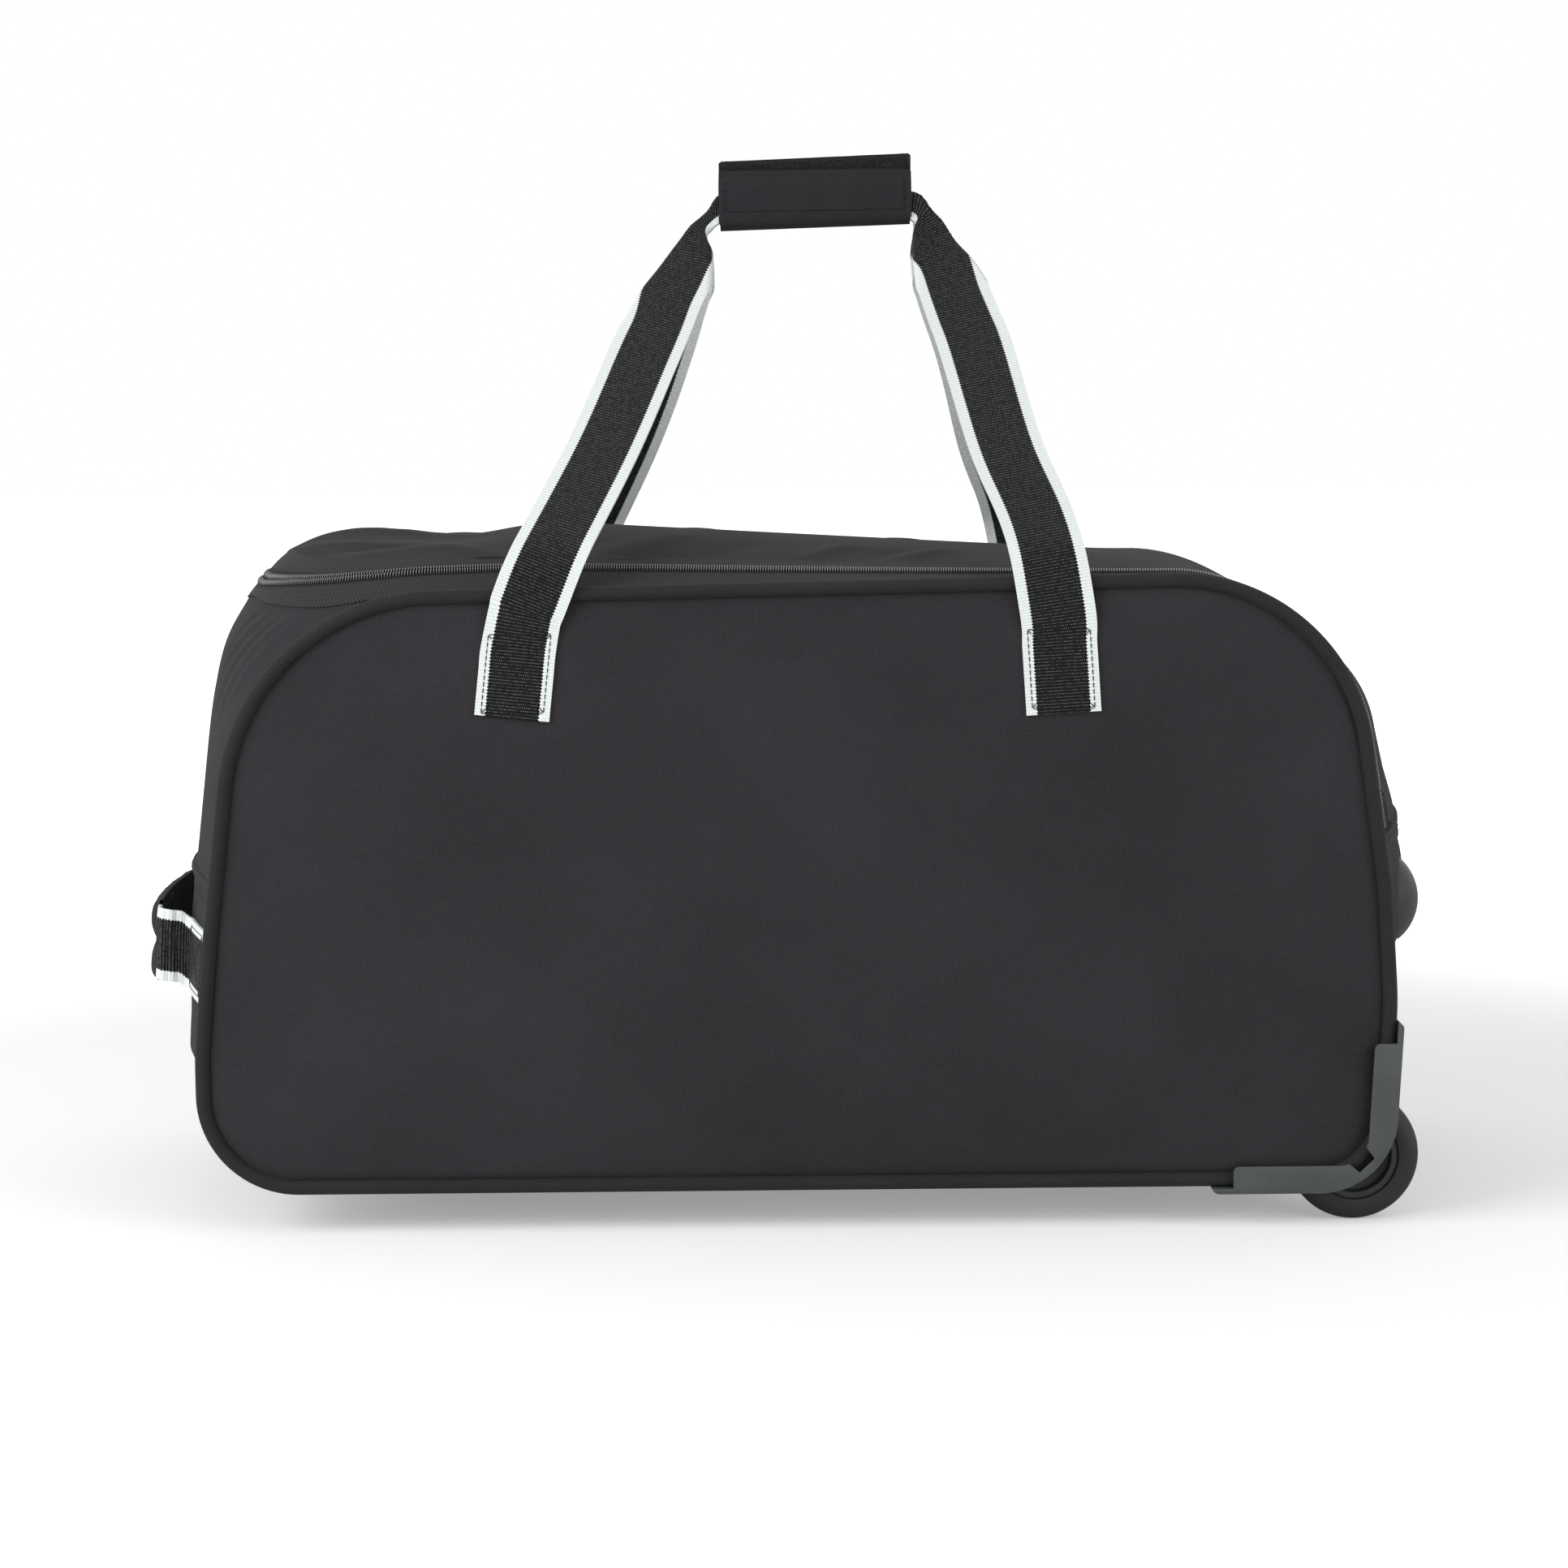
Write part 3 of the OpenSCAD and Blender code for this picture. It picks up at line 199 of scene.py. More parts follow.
def buildSeam():
    at = [np.array([x, h + bag["seamZ"]]) for x, h, *_ in bag["corners"]]
    count = len(at)
    step = [at[(k + 1) % count] - at[k] for k in range(count)]
    way = [d / np.linalg.norm(d) for d in step]
    angle = [math.degrees(math.atan2(d[1], d[0])) - 90 for d in way]
    turn = [(angle[k] - angle[k - 1] + 720) % 360 for k in range(count)]
    cut = [bag["corners"][k][2] * math.tan(math.radians(turn[k] / 2)) for k in range(count)]
    s, rows, starts = 0.0, [], []
    for k in range(count):
        _, _, radius, before, after, extra = bag["corners"][k]
        arc = radius * math.radians(turn[k])
        centre = at[k] - way[k - 1] * cut[k] - facing(angle[k - 1]) * radius
        starts.append(s)
        for f in np.linspace(0, 1, bag["arcSteps"], endpoint=False):
            n = facing(angle[k - 1] + turn[k] * f)
            p = centre + n * radius
            swell = before + (after - before) * eased(f) + extra * math.sin(math.pi * f) ** 2
            rows.append((s + arc * f, *p, *n, swell))
        s += arc
        starts.append(s)
        nxt = (k + 1) % count
        length = np.linalg.norm(step[k]) - cut[k] - cut[nxt]
        for f in np.linspace(0, 1, bag["runSteps"], endpoint=False):
            p = at[k] + way[k] * (cut[k] + length * f)
            swell = after + (bag["corners"][nxt][3] - after) * f
            rows.append((s + length * f, *p, *facing(angle[k]), swell))
        s += length
    rows.append((s, *rows[0][1:]))
    return np.array(rows), starts, s


seamRows, runStarts, seamLength = buildSeam()


def seamAt(s):
    s = np.asarray(s, float)
    return [np.interp(s, seamRows[:, 0], seamRows[:, i]) for i in range(1, 6)]


# a point on the band that joins the two side panels
def bandPoint(s, y, lift=0.0):
    x, z, nx, nz, swell = seamAt(s)
    out = swell * (1 - (y / bag["bandHalf"]) ** 2) + lift
    return np.stack([x + nx * out + shiftX, np.broadcast_to(y, x.shape), z + nz * out], -1)


def seamAtHeight(run, height):
    s = np.linspace(runStarts[run], runStarts[run + 1], 400)
    return float(np.interp(height + bag["seamZ"], seamAt(s)[1], s))


def seamAtDrop(run, height):
    s = np.linspace(runStarts[run], runStarts[run + 1], 400)
    return float(np.interp(-(height + bag["seamZ"]), -seamAt(s)[1], s))


# the side panels: how far a place lies from the middle, as a share of the way to the edge
panelMid = np.array([0.0, bag["seamZ"] + bag["height"] / 2])
edgeS = np.linspace(0, seamLength, bag["edgeSteps"], endpoint=False)
edgeX, edgeZ, edgeNx, edgeNz, _ = seamAt(edgeS)
edgeX, edgeZ = edgeX - edgeNx * bag["piping"], edgeZ - edgeNz * bag["piping"]
edgeAngle = np.arctan2(edgeZ - panelMid[1], edgeX - panelMid[0])
edgeOrder = np.argsort(edgeAngle)
edgeReach = np.hypot(edgeX, edgeZ - panelMid[1])


def panelOut(x, z):
    angle = np.arctan2(z - panelMid[1], x - panelMid[0])
    reach = np.interp(angle, edgeAngle[edgeOrder], edgeReach[edgeOrder], period=2 * math.pi)
    share = np.minimum(1, np.hypot(x - panelMid[0], z - panelMid[1]) / reach)
    groove = bag["groove"] * np.exp(-((1 - share) * reach / bag["grooveWide"]) ** 2)
    return bag["halfWidth"] + bag["crown"] * (1 - share ** 2) - groove


# materials
class Flow:  # a shader socket that can be worked with as a number
    def __init__(self, tree, socket=None):
        self.tree, self.socket = tree, socket

    def node(self, kind, settings=None, inputs=None, out=0):
        made = self.tree.nodes.new("ShaderNode" + kind)
        for key, value in (settings or {}).items():
            setattr(made, key, value)
        for key, value in (inputs or {}).items():
            if isinstance(value, Flow):
                self.tree.links.new(value.socket, made.inputs[key])
            else:
                made.inputs[key].default_value = value
        return Flow(self.tree, made.outputs[out])

    def sum(self, operation, first, second=0.0):
        return self.node("Math", {"operation": operation}, {0: first, 1: second})

    def __add__(self, other):
        return self.sum("ADD", self, other)

    def __sub__(self, other):
        return self.sum("SUBTRACT", self, other)

    def __rsub__(self, other):
        return self.sum("SUBTRACT", other, self)

    def __mul__(self, other):
        return self.sum("MULTIPLY", self, other)

    def __truediv__(self, other):
        return self.sum("DIVIDE", self, other)

    def __abs__(self):
        return self.sum("ABSOLUTE", self)

    def __gt__(self, other):
        return self.sum("GREATER_THAN", self, other)

    def sine(self):
        return self.sum("SINE", self)

    def saw(self, period):
        return self.sum("FRACT", self / period)

    def wave(self, period):
        return self.sum("PINGPONG", self, period / 2) / (period / 2)

    def larger(self, other):
        return self.sum("MAXIMUM", self, other)

    def smaller(self, other):
        return self.sum("MINIMUM", self, other)

    def held(self):
        return self.smaller(1.0).larger(0.0)

    def between(self, low, high):
        return self.node("MapRange", {"interpolation_type": "SMOOTHSTEP"}, {0: self, 1: low, 2: high})

    def noise(self, scale, detail=2.0, rough=0.5, stretch=None):
        at = self
        if stretch is not None:
            at = self.node("Mapping", None, {"Vector": self, "Scale": stretch})
        settings = {"Vector": at, "Scale": scale, "Detail": detail, "Roughness": rough}
        return self.node("TexNoise", None, settings)

    def parts(self):
        made = self.tree.nodes.new("ShaderNodeSeparateXYZ")
        self.tree.links.new(self.socket, made.inputs[0])
        return [Flow(self.tree, o) for o in made.outputs]

    def shade(self, low, high):  # this number as a mix of two colours
        return self.node("Mix", {"data_type": "RGBA"}, {0: self, 6: low, 7: high}, out=2)


def colour(r, g, b):  # from screen values
    parts = [(c / 255 / 12.92) if c <= 10 else ((c / 255 + 0.055) / 1.055) ** 2.4 for c in (r, g, b)]
    return (*parts, 1.0)


def startMaterial(name):
    mat = bpy.data.materials.new(name)
    mat.use_nodes = True
    tree = mat.node_tree
    shader = tree.nodes["Principled BSDF"]
    return mat, Flow(tree), shader


# height, depth and strength give the relief; fixed holds the shader's other plain values
def finishMaterial(made, shade, rough, height=None, depth=0.0004, strength=0.6, fixed=None):
    mat, base, shader = made
    tree = mat.node_tree
    for socket, value in (("Base Color", shade), ("Roughness", rough)):
        if isinstance(value, Flow):
            tree.links.new(value.socket, shader.inputs[socket])
        else:
            shader.inputs[socket].default_value = value
    if height is not None:
        bump = base.node("Bump", None, {"Strength": strength, "Distance": depth, "Height": height})
        tree.links.new(bump.socket, shader.inputs["Normal"])
    for key, value in (fixed or {}).items():
        shader.inputs[key].default_value = value
    return mat


clothLook = {
    "dark": (16, 15, 17), "light": (66, 64, 68), "warp": 0.0018, "weft": 0.00155, "rough": 0.85,
    "sheen": 0.03, "relief": 0.0003, "bump": 0.45,
}


# plain weave: two sets of fine slanting lines, either of which the light brings out in soft patches
def wovenCloth(name, look):
    made = startMaterial(name)
    cut = made[1].node("TexCoord", out=2)
    u, v, _ = cut.parts()
    across, along = u * (2 * math.pi / look["warp"]), v * (2 * math.pi / look["weft"])
    patch = cut.noise(18, 2, 0.5)
    falling = patch.between(0.3, 0.56) * 0.8 + 0.2
    rising = (1.0 - patch).between(0.46, 0.66) * 0.8 + 0.2
    weave = (across + along).sine() * falling * 0.6 + (across - along).sine() * rising * 0.6
    slub = cut.noise(1, 2, 0.5, (90, 1300, 1)) * 0.5 + cut.noise(1, 2, 0.5, (1300, 90, 1)) * 0.5
    broad = cut.noise(6, 3, 0.55)
    tone = (weave * 0.62 + (slub - 0.5) * 0.5 + (broad - 0.5) * 0.5 + 0.5).held()
    shade = tone.shade(colour(*look["dark"]), colour(*look["light"]))
    rough = (slub - 0.5) * 0.25 + look["rough"]
    fixed = {"Sheen Weight": look["sheen"], "Sheen Roughness": 0.5, "Specular IOR Level": 0.12}
    return finishMaterial(made, shade, rough, weave * 0.8 + slub * 0.5, look["relief"], look["bump"], fixed)


tapeLook = {
    "dark": (3, 3, 4), "light": (76, 75, 79), "rib": 0.0019, "row": 0.0042, "coil": 0, "relief": 0.0003,
}


# rows of slanted ribs that turn back on each other
def herringbone(name, look):
    made = startMaterial(name)
    cut = made[1].node("TexCoord", out=2)
    u, v, _ = cut.parts()
    slant = u + v.wave(look["row"]) * look["row"] * 0.5
    rib = slant.wave(look["rib"])
    fuzz = cut.noise(900, 2, 0.6)
    broad = cut.noise(14, 2, 0.5)
    tone = (rib * rib * 0.8 + (fuzz - 0.5) * 0.3 + (broad - 0.5) * 0.2 + 0.04).held()
    # painted shade: the tape is darkened near the zip line, under the coil, where the turns shade it
    if look["coil"]:  # dark under the zip's coil
        tone = tone * v.between(look["coil"] * 0.85, look["coil"] * 1.3)
    shade = tone.shade(colour(*look["dark"]), colour(*look["light"]))
    fixed = {"Sheen Weight": 0.03, "Specular IOR Level": 0.18}
    return finishMaterial(made, shade, 0.75, rib + fuzz * 0.3, look["relief"], 0.7, fixed)


webLook = {
    "half": 0.0215, "stripe": 0.0061, "rib": 0.00185, "yarn": 0.0012, "ragged": 0.0009, "relief": 0.0006,
    "black": (4, 4, 5), "rise": (34, 35, 36), "glint": (216, 218, 218), "white": (244, 248, 247),
    "grey": (208, 216, 214),
}


# close ribs across a dark middle, with painted glints here and there on the rib tops, and a pale stripe
# down each edge
def stripedWebbing(name, look):
    made = startMaterial(name)
    cut = made[1].node("TexCoord", out=2)
    u, v, _ = cut.parts()
    rib = u.wave(look["rib"])
    step = u.saw(look["rib"] * 2) > 0.5
    fine = cut.noise(1, 2, 0.5, (500, 2600, 1))
    yarn = (v * (2 * math.pi / look["yarn"]) + step * math.pi).sine() * 0.5 + 0.5
    edge = abs(v) + (rib - 0.5) * look["ragged"]
    stripe = edge > (look["half"] - look["stripe"])
    tone = (rib * rib * 0.6 + yarn * rib * 0.4 + (fine - 0.5) * 0.5).held()
    ribbed = tone.shade(colour(*look["black"]), colour(*look["rise"]))
    # painted highlight: bright glint dashes on the rib tops, in scattered patches
    glintPatches = cut.noise(1, 3, 0.6, (260, 420, 1)).between(0.36, 0.6)
    paintedGlint = (rib * yarn).between(0.6, 0.95) * glintPatches * 0.55
    black = paintedGlint.shade(ribbed, colour(*look["glint"]))
    white = (rib * 0.6 + fine * 0.4).shade(colour(*look["grey"]), colour(*look["white"]))
    height = rib * (1.0 - stripe * 0.75) + yarn * 0.25
    fixed = {"Sheen Weight": 0.02, "Specular IOR Level": 0.16}
    shade, rough = stripe.shade(black, white), stripe * 0.25 + 0.55
    return finishMaterial(made, shade, rough, height, look["relief"], 0.7, fixed)


def mouldedPlastic(name, dark, light, rough, grain=0.5, scuff=0.3, shine=0.3):
    made = startMaterial(name)
    place = made[1].node("TexCoord", out=3)
    speck = place.noise(1700, 3, 0.6)
    wear = place.noise(38, 5, 0.65)
    tone = (wear * 0.8 + (speck - 0.5) * 0.5).held()
    scratch = place.noise(1, 2, 0.5, (60, 60, 2600)).between(0.66, 0.72) * scuff
    shade = tone.shade(colour(*dark), colour(*light))
    gloss = (wear - 0.5) * 0.3 + rough - scratch * 0.1
    height = speck * grain + scratch * 0.4
    return finishMaterial(made, shade, gloss, height, 0.00015, 0.35, {"Specular IOR Level": shine})


# smooth nylon with a painted highlight: the light colour is painted along the top of each turn, strongest
# mid-way across
def coilThread(name, dark, light):
    made = startMaterial(name)
    around, along, _ = made[1].node("TexCoord", out=2).parts()
    paintedCrestHighlight = 1.0 - abs(around - 0.25).between(0.02, 0.1)
    # painted highlight: the mask is narrowed towards both ends of each turn
    top = paintedCrestHighlight * (1.0 - abs(along - 0.5).between(0.1, 0.45) * 0.8)
    shade = top.shade(colour(*dark), colour(*light))
    return finishMaterial(made, shade, 0.3, fixed={"Specular IOR Level": 0.6})


def platedSteel(name, dark, light, rough):
    made = startMaterial(name)
    place = made[1].node("TexCoord", out=3)
    drawn = place.noise(1, 3, 0.5, (120, 2200, 2200))
    spot = place.noise(160, 4, 0.6)
    shade = (drawn * 0.6 + spot * 0.4).shade(colour(*dark), colour(*light))
    return finishMaterial(made, shade, drawn * 0.2 + rough, drawn, 0.00005, 0.3, {"Metallic": 1.0})


def fuzzyTape(name, dark, light):
    made = startMaterial(name)
    place = made[1].node("TexCoord", out=3)
    loops = place.noise(1500, 3, 0.7)
    clump = place.noise(420, 2, 0.5)
    shade = (loops * 0.7 + clump * 0.5 - 0.2).held().shade(colour(*dark), colour(*light))
    fixed = {"Sheen Weight": 0.06, "Specular IOR Level": 0.12}
    return finishMaterial(made, shade, 0.9, loops + clump, 0.0012, 0.9, fixed)


def sewingThread(name, dark, light):
    made = startMaterial(name)
    twist = made[1].node("TexCoord", out=3).noise(2600, 2, 0.5)
    shade = twist.shade(colour(*dark), colour(*light))
    return finishMaterial(made, shade, 0.5, twist, 0.0001, 0.4, {"Specular IOR Level": 0.25})


bagCloth = wovenCloth("bag cloth", clothLook)
gripCloth = wovenCloth("grip cloth", {**clothLook, "dark": (20, 19, 21), "light": (58, 56, 60)})
# painted light: the sleeve is the bag's cloth painted lighter, to make up for light that doesn't reach
# inside the loop; its relief is kept low
sleeveLightenedLook = {**clothLook, "dark": (30, 29, 31), "light": (62, 60, 64), "bump": 0.05}
sleeveLightenedCloth = wovenCloth("sleeve cloth painted lighter", sleeveLightenedLook)
tapeCloth = herringbone("tape", {**tapeLook, "dark": (10, 10, 11), "light": (68, 67, 70), "rib": 0.0015})
# coil: how far from the zip line the painted shade under the coil reaches
zipTapeCloth = herringbone("zip tape", {**tapeLook, "coil": 0.0046})
webbing = stripedWebbing("striped webbing", webLook)
# the second colour is the painted highlight along the coil's turns
coilNylon = coilThread("coil nylon", (6, 6, 7), (162, 162, 166))
guardPlastic = mouldedPlastic("guard plastic", (64, 67, 68), (87, 90, 91), 0.5)
# painted highlight: the paler colour on the guards' rounded edges
guardEdgeHighlight = mouldedPlastic("guard edge highlight", (92, 95, 96), (122, 125, 126), 0.45)
footPlastic = mouldedPlastic("foot plastic", (46, 48, 49), (64, 66, 67), 0.48)
tyreRubber = mouldedPlastic("tyre rubber", (32, 33, 33), (48, 49, 49), 0.55)
hubPlastic = mouldedPlastic("hub plastic", (46, 48, 48), (62, 64, 64), 0.5)
boardPlastic = mouldedPlastic("board plastic", (30, 30, 31), (44, 44, 46), 0.6)
pullRubber = mouldedPlastic("pull rubber", (22, 22, 23), (36, 36, 38), 0.6)
sliderMetal = mouldedPlastic("slider enamel", (30, 30, 31), (46, 46, 48), 0.35, 0.2)
plainSteel = platedSteel("plated steel", (150, 151, 153), (196, 197, 199), 0.28)
fuzzTape = fuzzyTape("hook and loop", (10, 10, 12), (62, 62, 66))
darkThread = sewingThread("dark thread", (4, 4, 5), (18, 18, 19))
paleThread = sewingThread("pale thread", (206, 210, 208), (240, 242, 241))
print("materials mixed")


def dress(obj, mat, body=None, stands=()):
    obj.data.materials.clear()
    obj.data.materials.append(mat)
    if body:
        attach(obj, body)
    if stands:
        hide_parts(*stands)
    return obj


# the zip's U on the unrolled band
zipper = {
    # start: how far from the middle the zip begins on the back and on the front
    "cross": 0.5, "start": (0.14, 0.122), "seamHeight": 0.201, "hingeStrip": 0.024, "endSeam": 0.178,
    "pitch": 0.0015, "reach": 0.0046, "lidTape": 0.0145, "underLid": 0.003, "turn": 0.1, "underTape": 0.002,
    # in mm, how far from the crossing and from the middle the zip and the lower tape's edge run
    "line": [(0, 0), (0, 22), (4, 54), (12, 79), (24, 100), (40, 115), (62, 124.5), (85, 126), (140, 121.5),
             (200, 122)],
    "edge": [(-12.5, 0), (-11.5, 20), (-5, 55), (-1.5, 83), (7, 108), (17, 125), (29, 137), (44, 144),
             (62, 148), (85, 150.5)],
    "edgeStart": (0.1505, 0.1505), "step": 0.0005, "roundOff": 14, "meet": 0.0008, "lidGap": 0.0004,
    "bendHalf": 0.012, "tapeThick": 0.0009, "lidTapeLift": 0.0009, "bodyTapeLift": 0.0012, "tapeSteps": 360,
    # the coil: its wire, how it lies, and where the lid's half parts from the stub
    "wire": 0.00058, "taper": 0.2, "squash": 0.82, "arch": 0.0013, "shift": 0.25, "overlap": 0.0004,
    "coilLift": 0.0015, "part": 0.0005,
}
wheelSeam = seamAtHeight(7, zipper["seamHeight"])
lidBend = seamAtHeight(7, zipper["seamHeight"] + zipper["hingeStrip"])
zipEnd = runStarts[10] + zipper["cross"] * (runStarts[11] - runStarts[10])
handleSeam = seamAtDrop(11, zipper["endSeam"])


# a line's corners rounded off by sliding means; its ends stay as they are
def roundedOff(line, width, passes=2):
    kernel = np.ones(2 * width + 1) / (2 * width + 1)
    for _ in range(passes):
        ends = [2 * line[:1] - line[width:0:-1], line, 2 * line[-1:] - line[-2:-width - 2:-1]]
        line = np.stack([np.convolve(np.concatenate(ends)[:, k], kernel, "valid") for k in (0, 1)], -1)
    return line


# a smooth line from its start on the back, round the handle end, to the front, at even steps
def bandLine(corner, start):
    half = [(zipEnd - d / 1000, -y / 1000) for d, y in corner[::-1]]
    mirrored = [(s, -y) for s, y in half[-2::-1]]
    line = np.array([(wheelSeam, -start[0])] + half + mirrored + [(wheelSeam, start[1])])
    run = runAlong(line)
    fine = roundedOff(atRun(np.arange(0, run[-1], zipper["step"]), run, line), zipper["roundOff"])
    run = runAlong(fine)
    return fine, run / run[-1], run[-1]


zipLine, zipShare, zipLength = bandLine(zipper["line"], zipper["start"])
edgeLine, edgeShare, _ = bandLine(zipper["edge"], zipper["edgeStart"])
zipOut = unit(np.gradient(zipLine, zipShare, axis=0)[:, ::-1] * np.array([1, -1]))


def alongShare(line, share, t):
    return [np.interp(t, share, line[:, k]) for k in (0, 1)]


# place along the zip, from the start on the back round to the front, set out by off
def zipPlace(t, off):
    s, y = alongShare(zipLine, zipShare, t)
    outS, outY = alongShare(zipOut, zipShare, t)
    return s + outS * off, y + outY * off


# place on the lower tape's edge that faces a place along the zip
def edgePlace(t):
    turn = []
    for line, share in ((zipLine, zipShare), (edgeLine, edgeShare)):
        half = len(line) // 2
        turn.append(float(np.interp(zipEnd - zipper["turn"], line[:half, 0], share[:half])))
    match = np.interp(t, [0, turn[0], 0.5, 1 - turn[0], 1], [0, turn[1], 0.5, 1 - turn[1], 1])
    return alongShare(edgeLine, edgeShare, match)


# half width inside the zip line at a place along the bag
def zipHalf(s, off, front=False):
    t = np.linspace(1 if front else 0, 0.5, 500)
    lineS, lineY = zipPlace(t, off)
    return np.interp(s, np.maximum.accumulate(lineS), np.abs(lineY))


# where the upper end cloth starts, just under the lower tape's edge
def underTape(y):
    half = len(edgeLine) // 2
    return np.interp(-np.abs(y), edgeLine[:half, 1], edgeLine[:half, 0] - zipper["underTape"])


# stuffed cloth: every piece is cut, pinned at its seams and filled
stuffing = {
    "frames": 22, "sink": 0.0006, "slide": 0.4, "thin": 0.8, "wave": 0.07, "waveHigh": 0.0008,
    "foldSteps": 60, "gravity": 0.1,
    "cloth": {"quality": 5, "mass": 0.25, "air_damping": 3.0, "tension_stiffness": 18,
              "compression_stiffness": 18, "shear_stiffness": 8, "bending_stiffness": 0.6,
              "vertex_group_mass": "sewn", "use_pressure": True},
    # threads across and along, spare cloth, pressure, the most that it swells, and a seed
    "cuts": {"baseCloth": (44, 96, 0.002, 0.1, 0.002, 11),
             "wheelCornerCloth": (30, 18, 0.002, 0.1, 0.0015, 12),
             "wheelEndCloth": (90, 60, 0.004, 0.3, 0.0025, 13),
             "handleEndCloth": (60, 50, 0.006, 0.3, 0.003, 14),
             "handleUpperCloth": (110, 56, 0.006, 0.2, 0.003, 15),
             "lidCloth": (64, 150, 0.003, 0.03, 0.0015, 16),
             "backPanelCloth": (110, 60, 0.002, 0.15, 0.0016, 21),
             "frontPanelCloth": (110, 60, 0.002, 0.15, 0.0016, 22)},
}
filled = []


# a soft uneven height made of waves in all directions
def ripple(points, size, amount, seed, waves=14):
    rng = np.random.RandomState(seed)
    out = np.zeros(len(points))
    for _ in range(waves):
        d = rng.normal(size=3)
        d /= np.linalg.norm(d)
        out += np.sin(points @ d * 2 * math.pi / (size * rng.uniform(0.6, 1.6)) + rng.uniform(0, 6.3))
    return out * amount / 4


# soft folds, each along a few places with a height and a width
def foldLift(s, y, folds):
    steps = stuffing["foldSteps"]
    up = np.zeros(len(s))
    for path, height, wide in folds:
        path = np.array(path)
        line = atRun(np.linspace(0, len(path) - 1, steps), np.arange(len(path)), path)
        away = np.hypot(s[:, None] - line[:, 0], y[:, None] - line[:, 1])
        fade = np.sin(math.pi * (np.argmin(away, axis=1) + 0.5) / steps) ** 0.6
        up += height * fade * np.exp(-(away.min(1) / wide) ** 2)
    return up


def cutCloth(name, place):
    across, along, *fill = stuffing["cuts"][name]
    obj = layGrid(name, across, along, place)
    filled.append((obj, *fill))
    return obj


def borderOf(obj):
    edges = {}
    for p in obj.data.polygons:
        for k in p.edge_keys:
            edges[k] = edges.get(k, 0) + 1
    return sorted({v for k, n in edges.items() if n == 1 for v in k})


# cloth that something is sewn or bolted to keeps its place
hold = {"round": 0.034, "fade": 0.025, "patchIn": 0.022, "pullDrop": 0.126, "pullY": 0.125,
        "guardRound": 0.06, "guardIn": 0.02, "guardDown": 0.03, "guardY": 0.12}
held = []


def holdShare(points):
    share = np.ones(len(points))
    for centre, radius in held:
        away = np.linalg.norm(points - np.asarray(centre), axis=1)
        share *= np.clip((away - radius) / hold["fade"], 0, 1)
    return share


def addFilling(obj, border, spare, pressure):
    obj.vertex_groups.new(name="sewn").add(border, 1.0, "REPLACE")
    mod = obj.modifiers.new("Fill", "CLOTH")
    for key, value in stuffing["cloth"].items():
        setattr(mod.settings, key, value)
    mod.settings.shrink_min = -spare
    mod.settings.uniform_pressure_force = pressure
    mod.settings.effector_weights.gravity = stuffing["gravity"]
    mod.collision_settings.use_collision = False


# the filled cloth is kept to the most that it may swell, sink or creep
def settle(obj, cap, rest, normals, free):
    pick(obj)
    bpy.ops.object.modifier_apply(modifier="Fill")
    moved = readPoints(obj) - rest
    out = (moved * normals).sum(1)
    slid = moved - normals * out[:, None]
    low, high = round(float(out.min()) * 1000, 1), round(float(out.max()) * 1000, 1)
    limit = np.where(out > 0, cap, stuffing["sink"])
    out = out * limit / (limit + np.abs(out))
    creep = cap * stuffing["slide"]
    slid *= (creep / (creep + np.linalg.norm(slid, axis=1)))[:, None]
    writePoints(obj, rest + (slid + normals * out[:, None]) * free[:, None])
    print("filled", obj.name, "from", low, "to", high, "mm")


def fillCloth():
    before = {}
    for obj, spare, pressure, _, seed in filled:
        rest, normals = readPoints(obj), readNormals(obj)
        border = borderOf(obj)
        free = holdShare(rest)
        free[border] = 0
        before[obj.name] = (rest, normals, free)
        start = ripple(rest, stuffing["wave"], stuffing["waveHigh"], seed) * free
        writePoints(obj, rest + normals * start[:, None])
        addFilling(obj, border, spare, pressure)
    for f in range(1, stuffing["frames"] + 1):
        bpy.context.scene.frame_set(f)
    for obj, _, _, cap, _ in filled:
        settle(obj, cap, *before[obj.name])
        soften(obj)
        thicken(obj, bag["fabric"] * stuffing["thin"])
    bpy.context.scene.frame_set(1)


# a piece of the band, even about its middle; it may start at a curved edge or have a curved width
def bandCut(name, start, end, half, lift=None):
    def place(a, b):
        if callable(start):
            y = (2 * a - 1) * half
            s = start(y) + (end - start(y)) * b
        else:
            s = start + (end - start) * b
            y = (2 * a - 1) * (half(s, a) if callable(half) else half)
        return bandPoint(s, y, lift(s, y) if lift else 0.0), np.stack([y, s], -1)
    return cutCloth(name, place)


# where the wheel wells are cut out of the base and the wheel end, and how wide the cloth between them is
well = {"floorX": 0.281, "topZ": 0.0826, "half": 0.1197}
baseRun = np.linspace(runStarts[1], runStarts[2], 300)
wellFloor = float(np.interp(well["floorX"], seamAt(baseRun)[0], baseRun))
wellTop = seamAtHeight(3, well["topZ"] - bag["seamZ"])

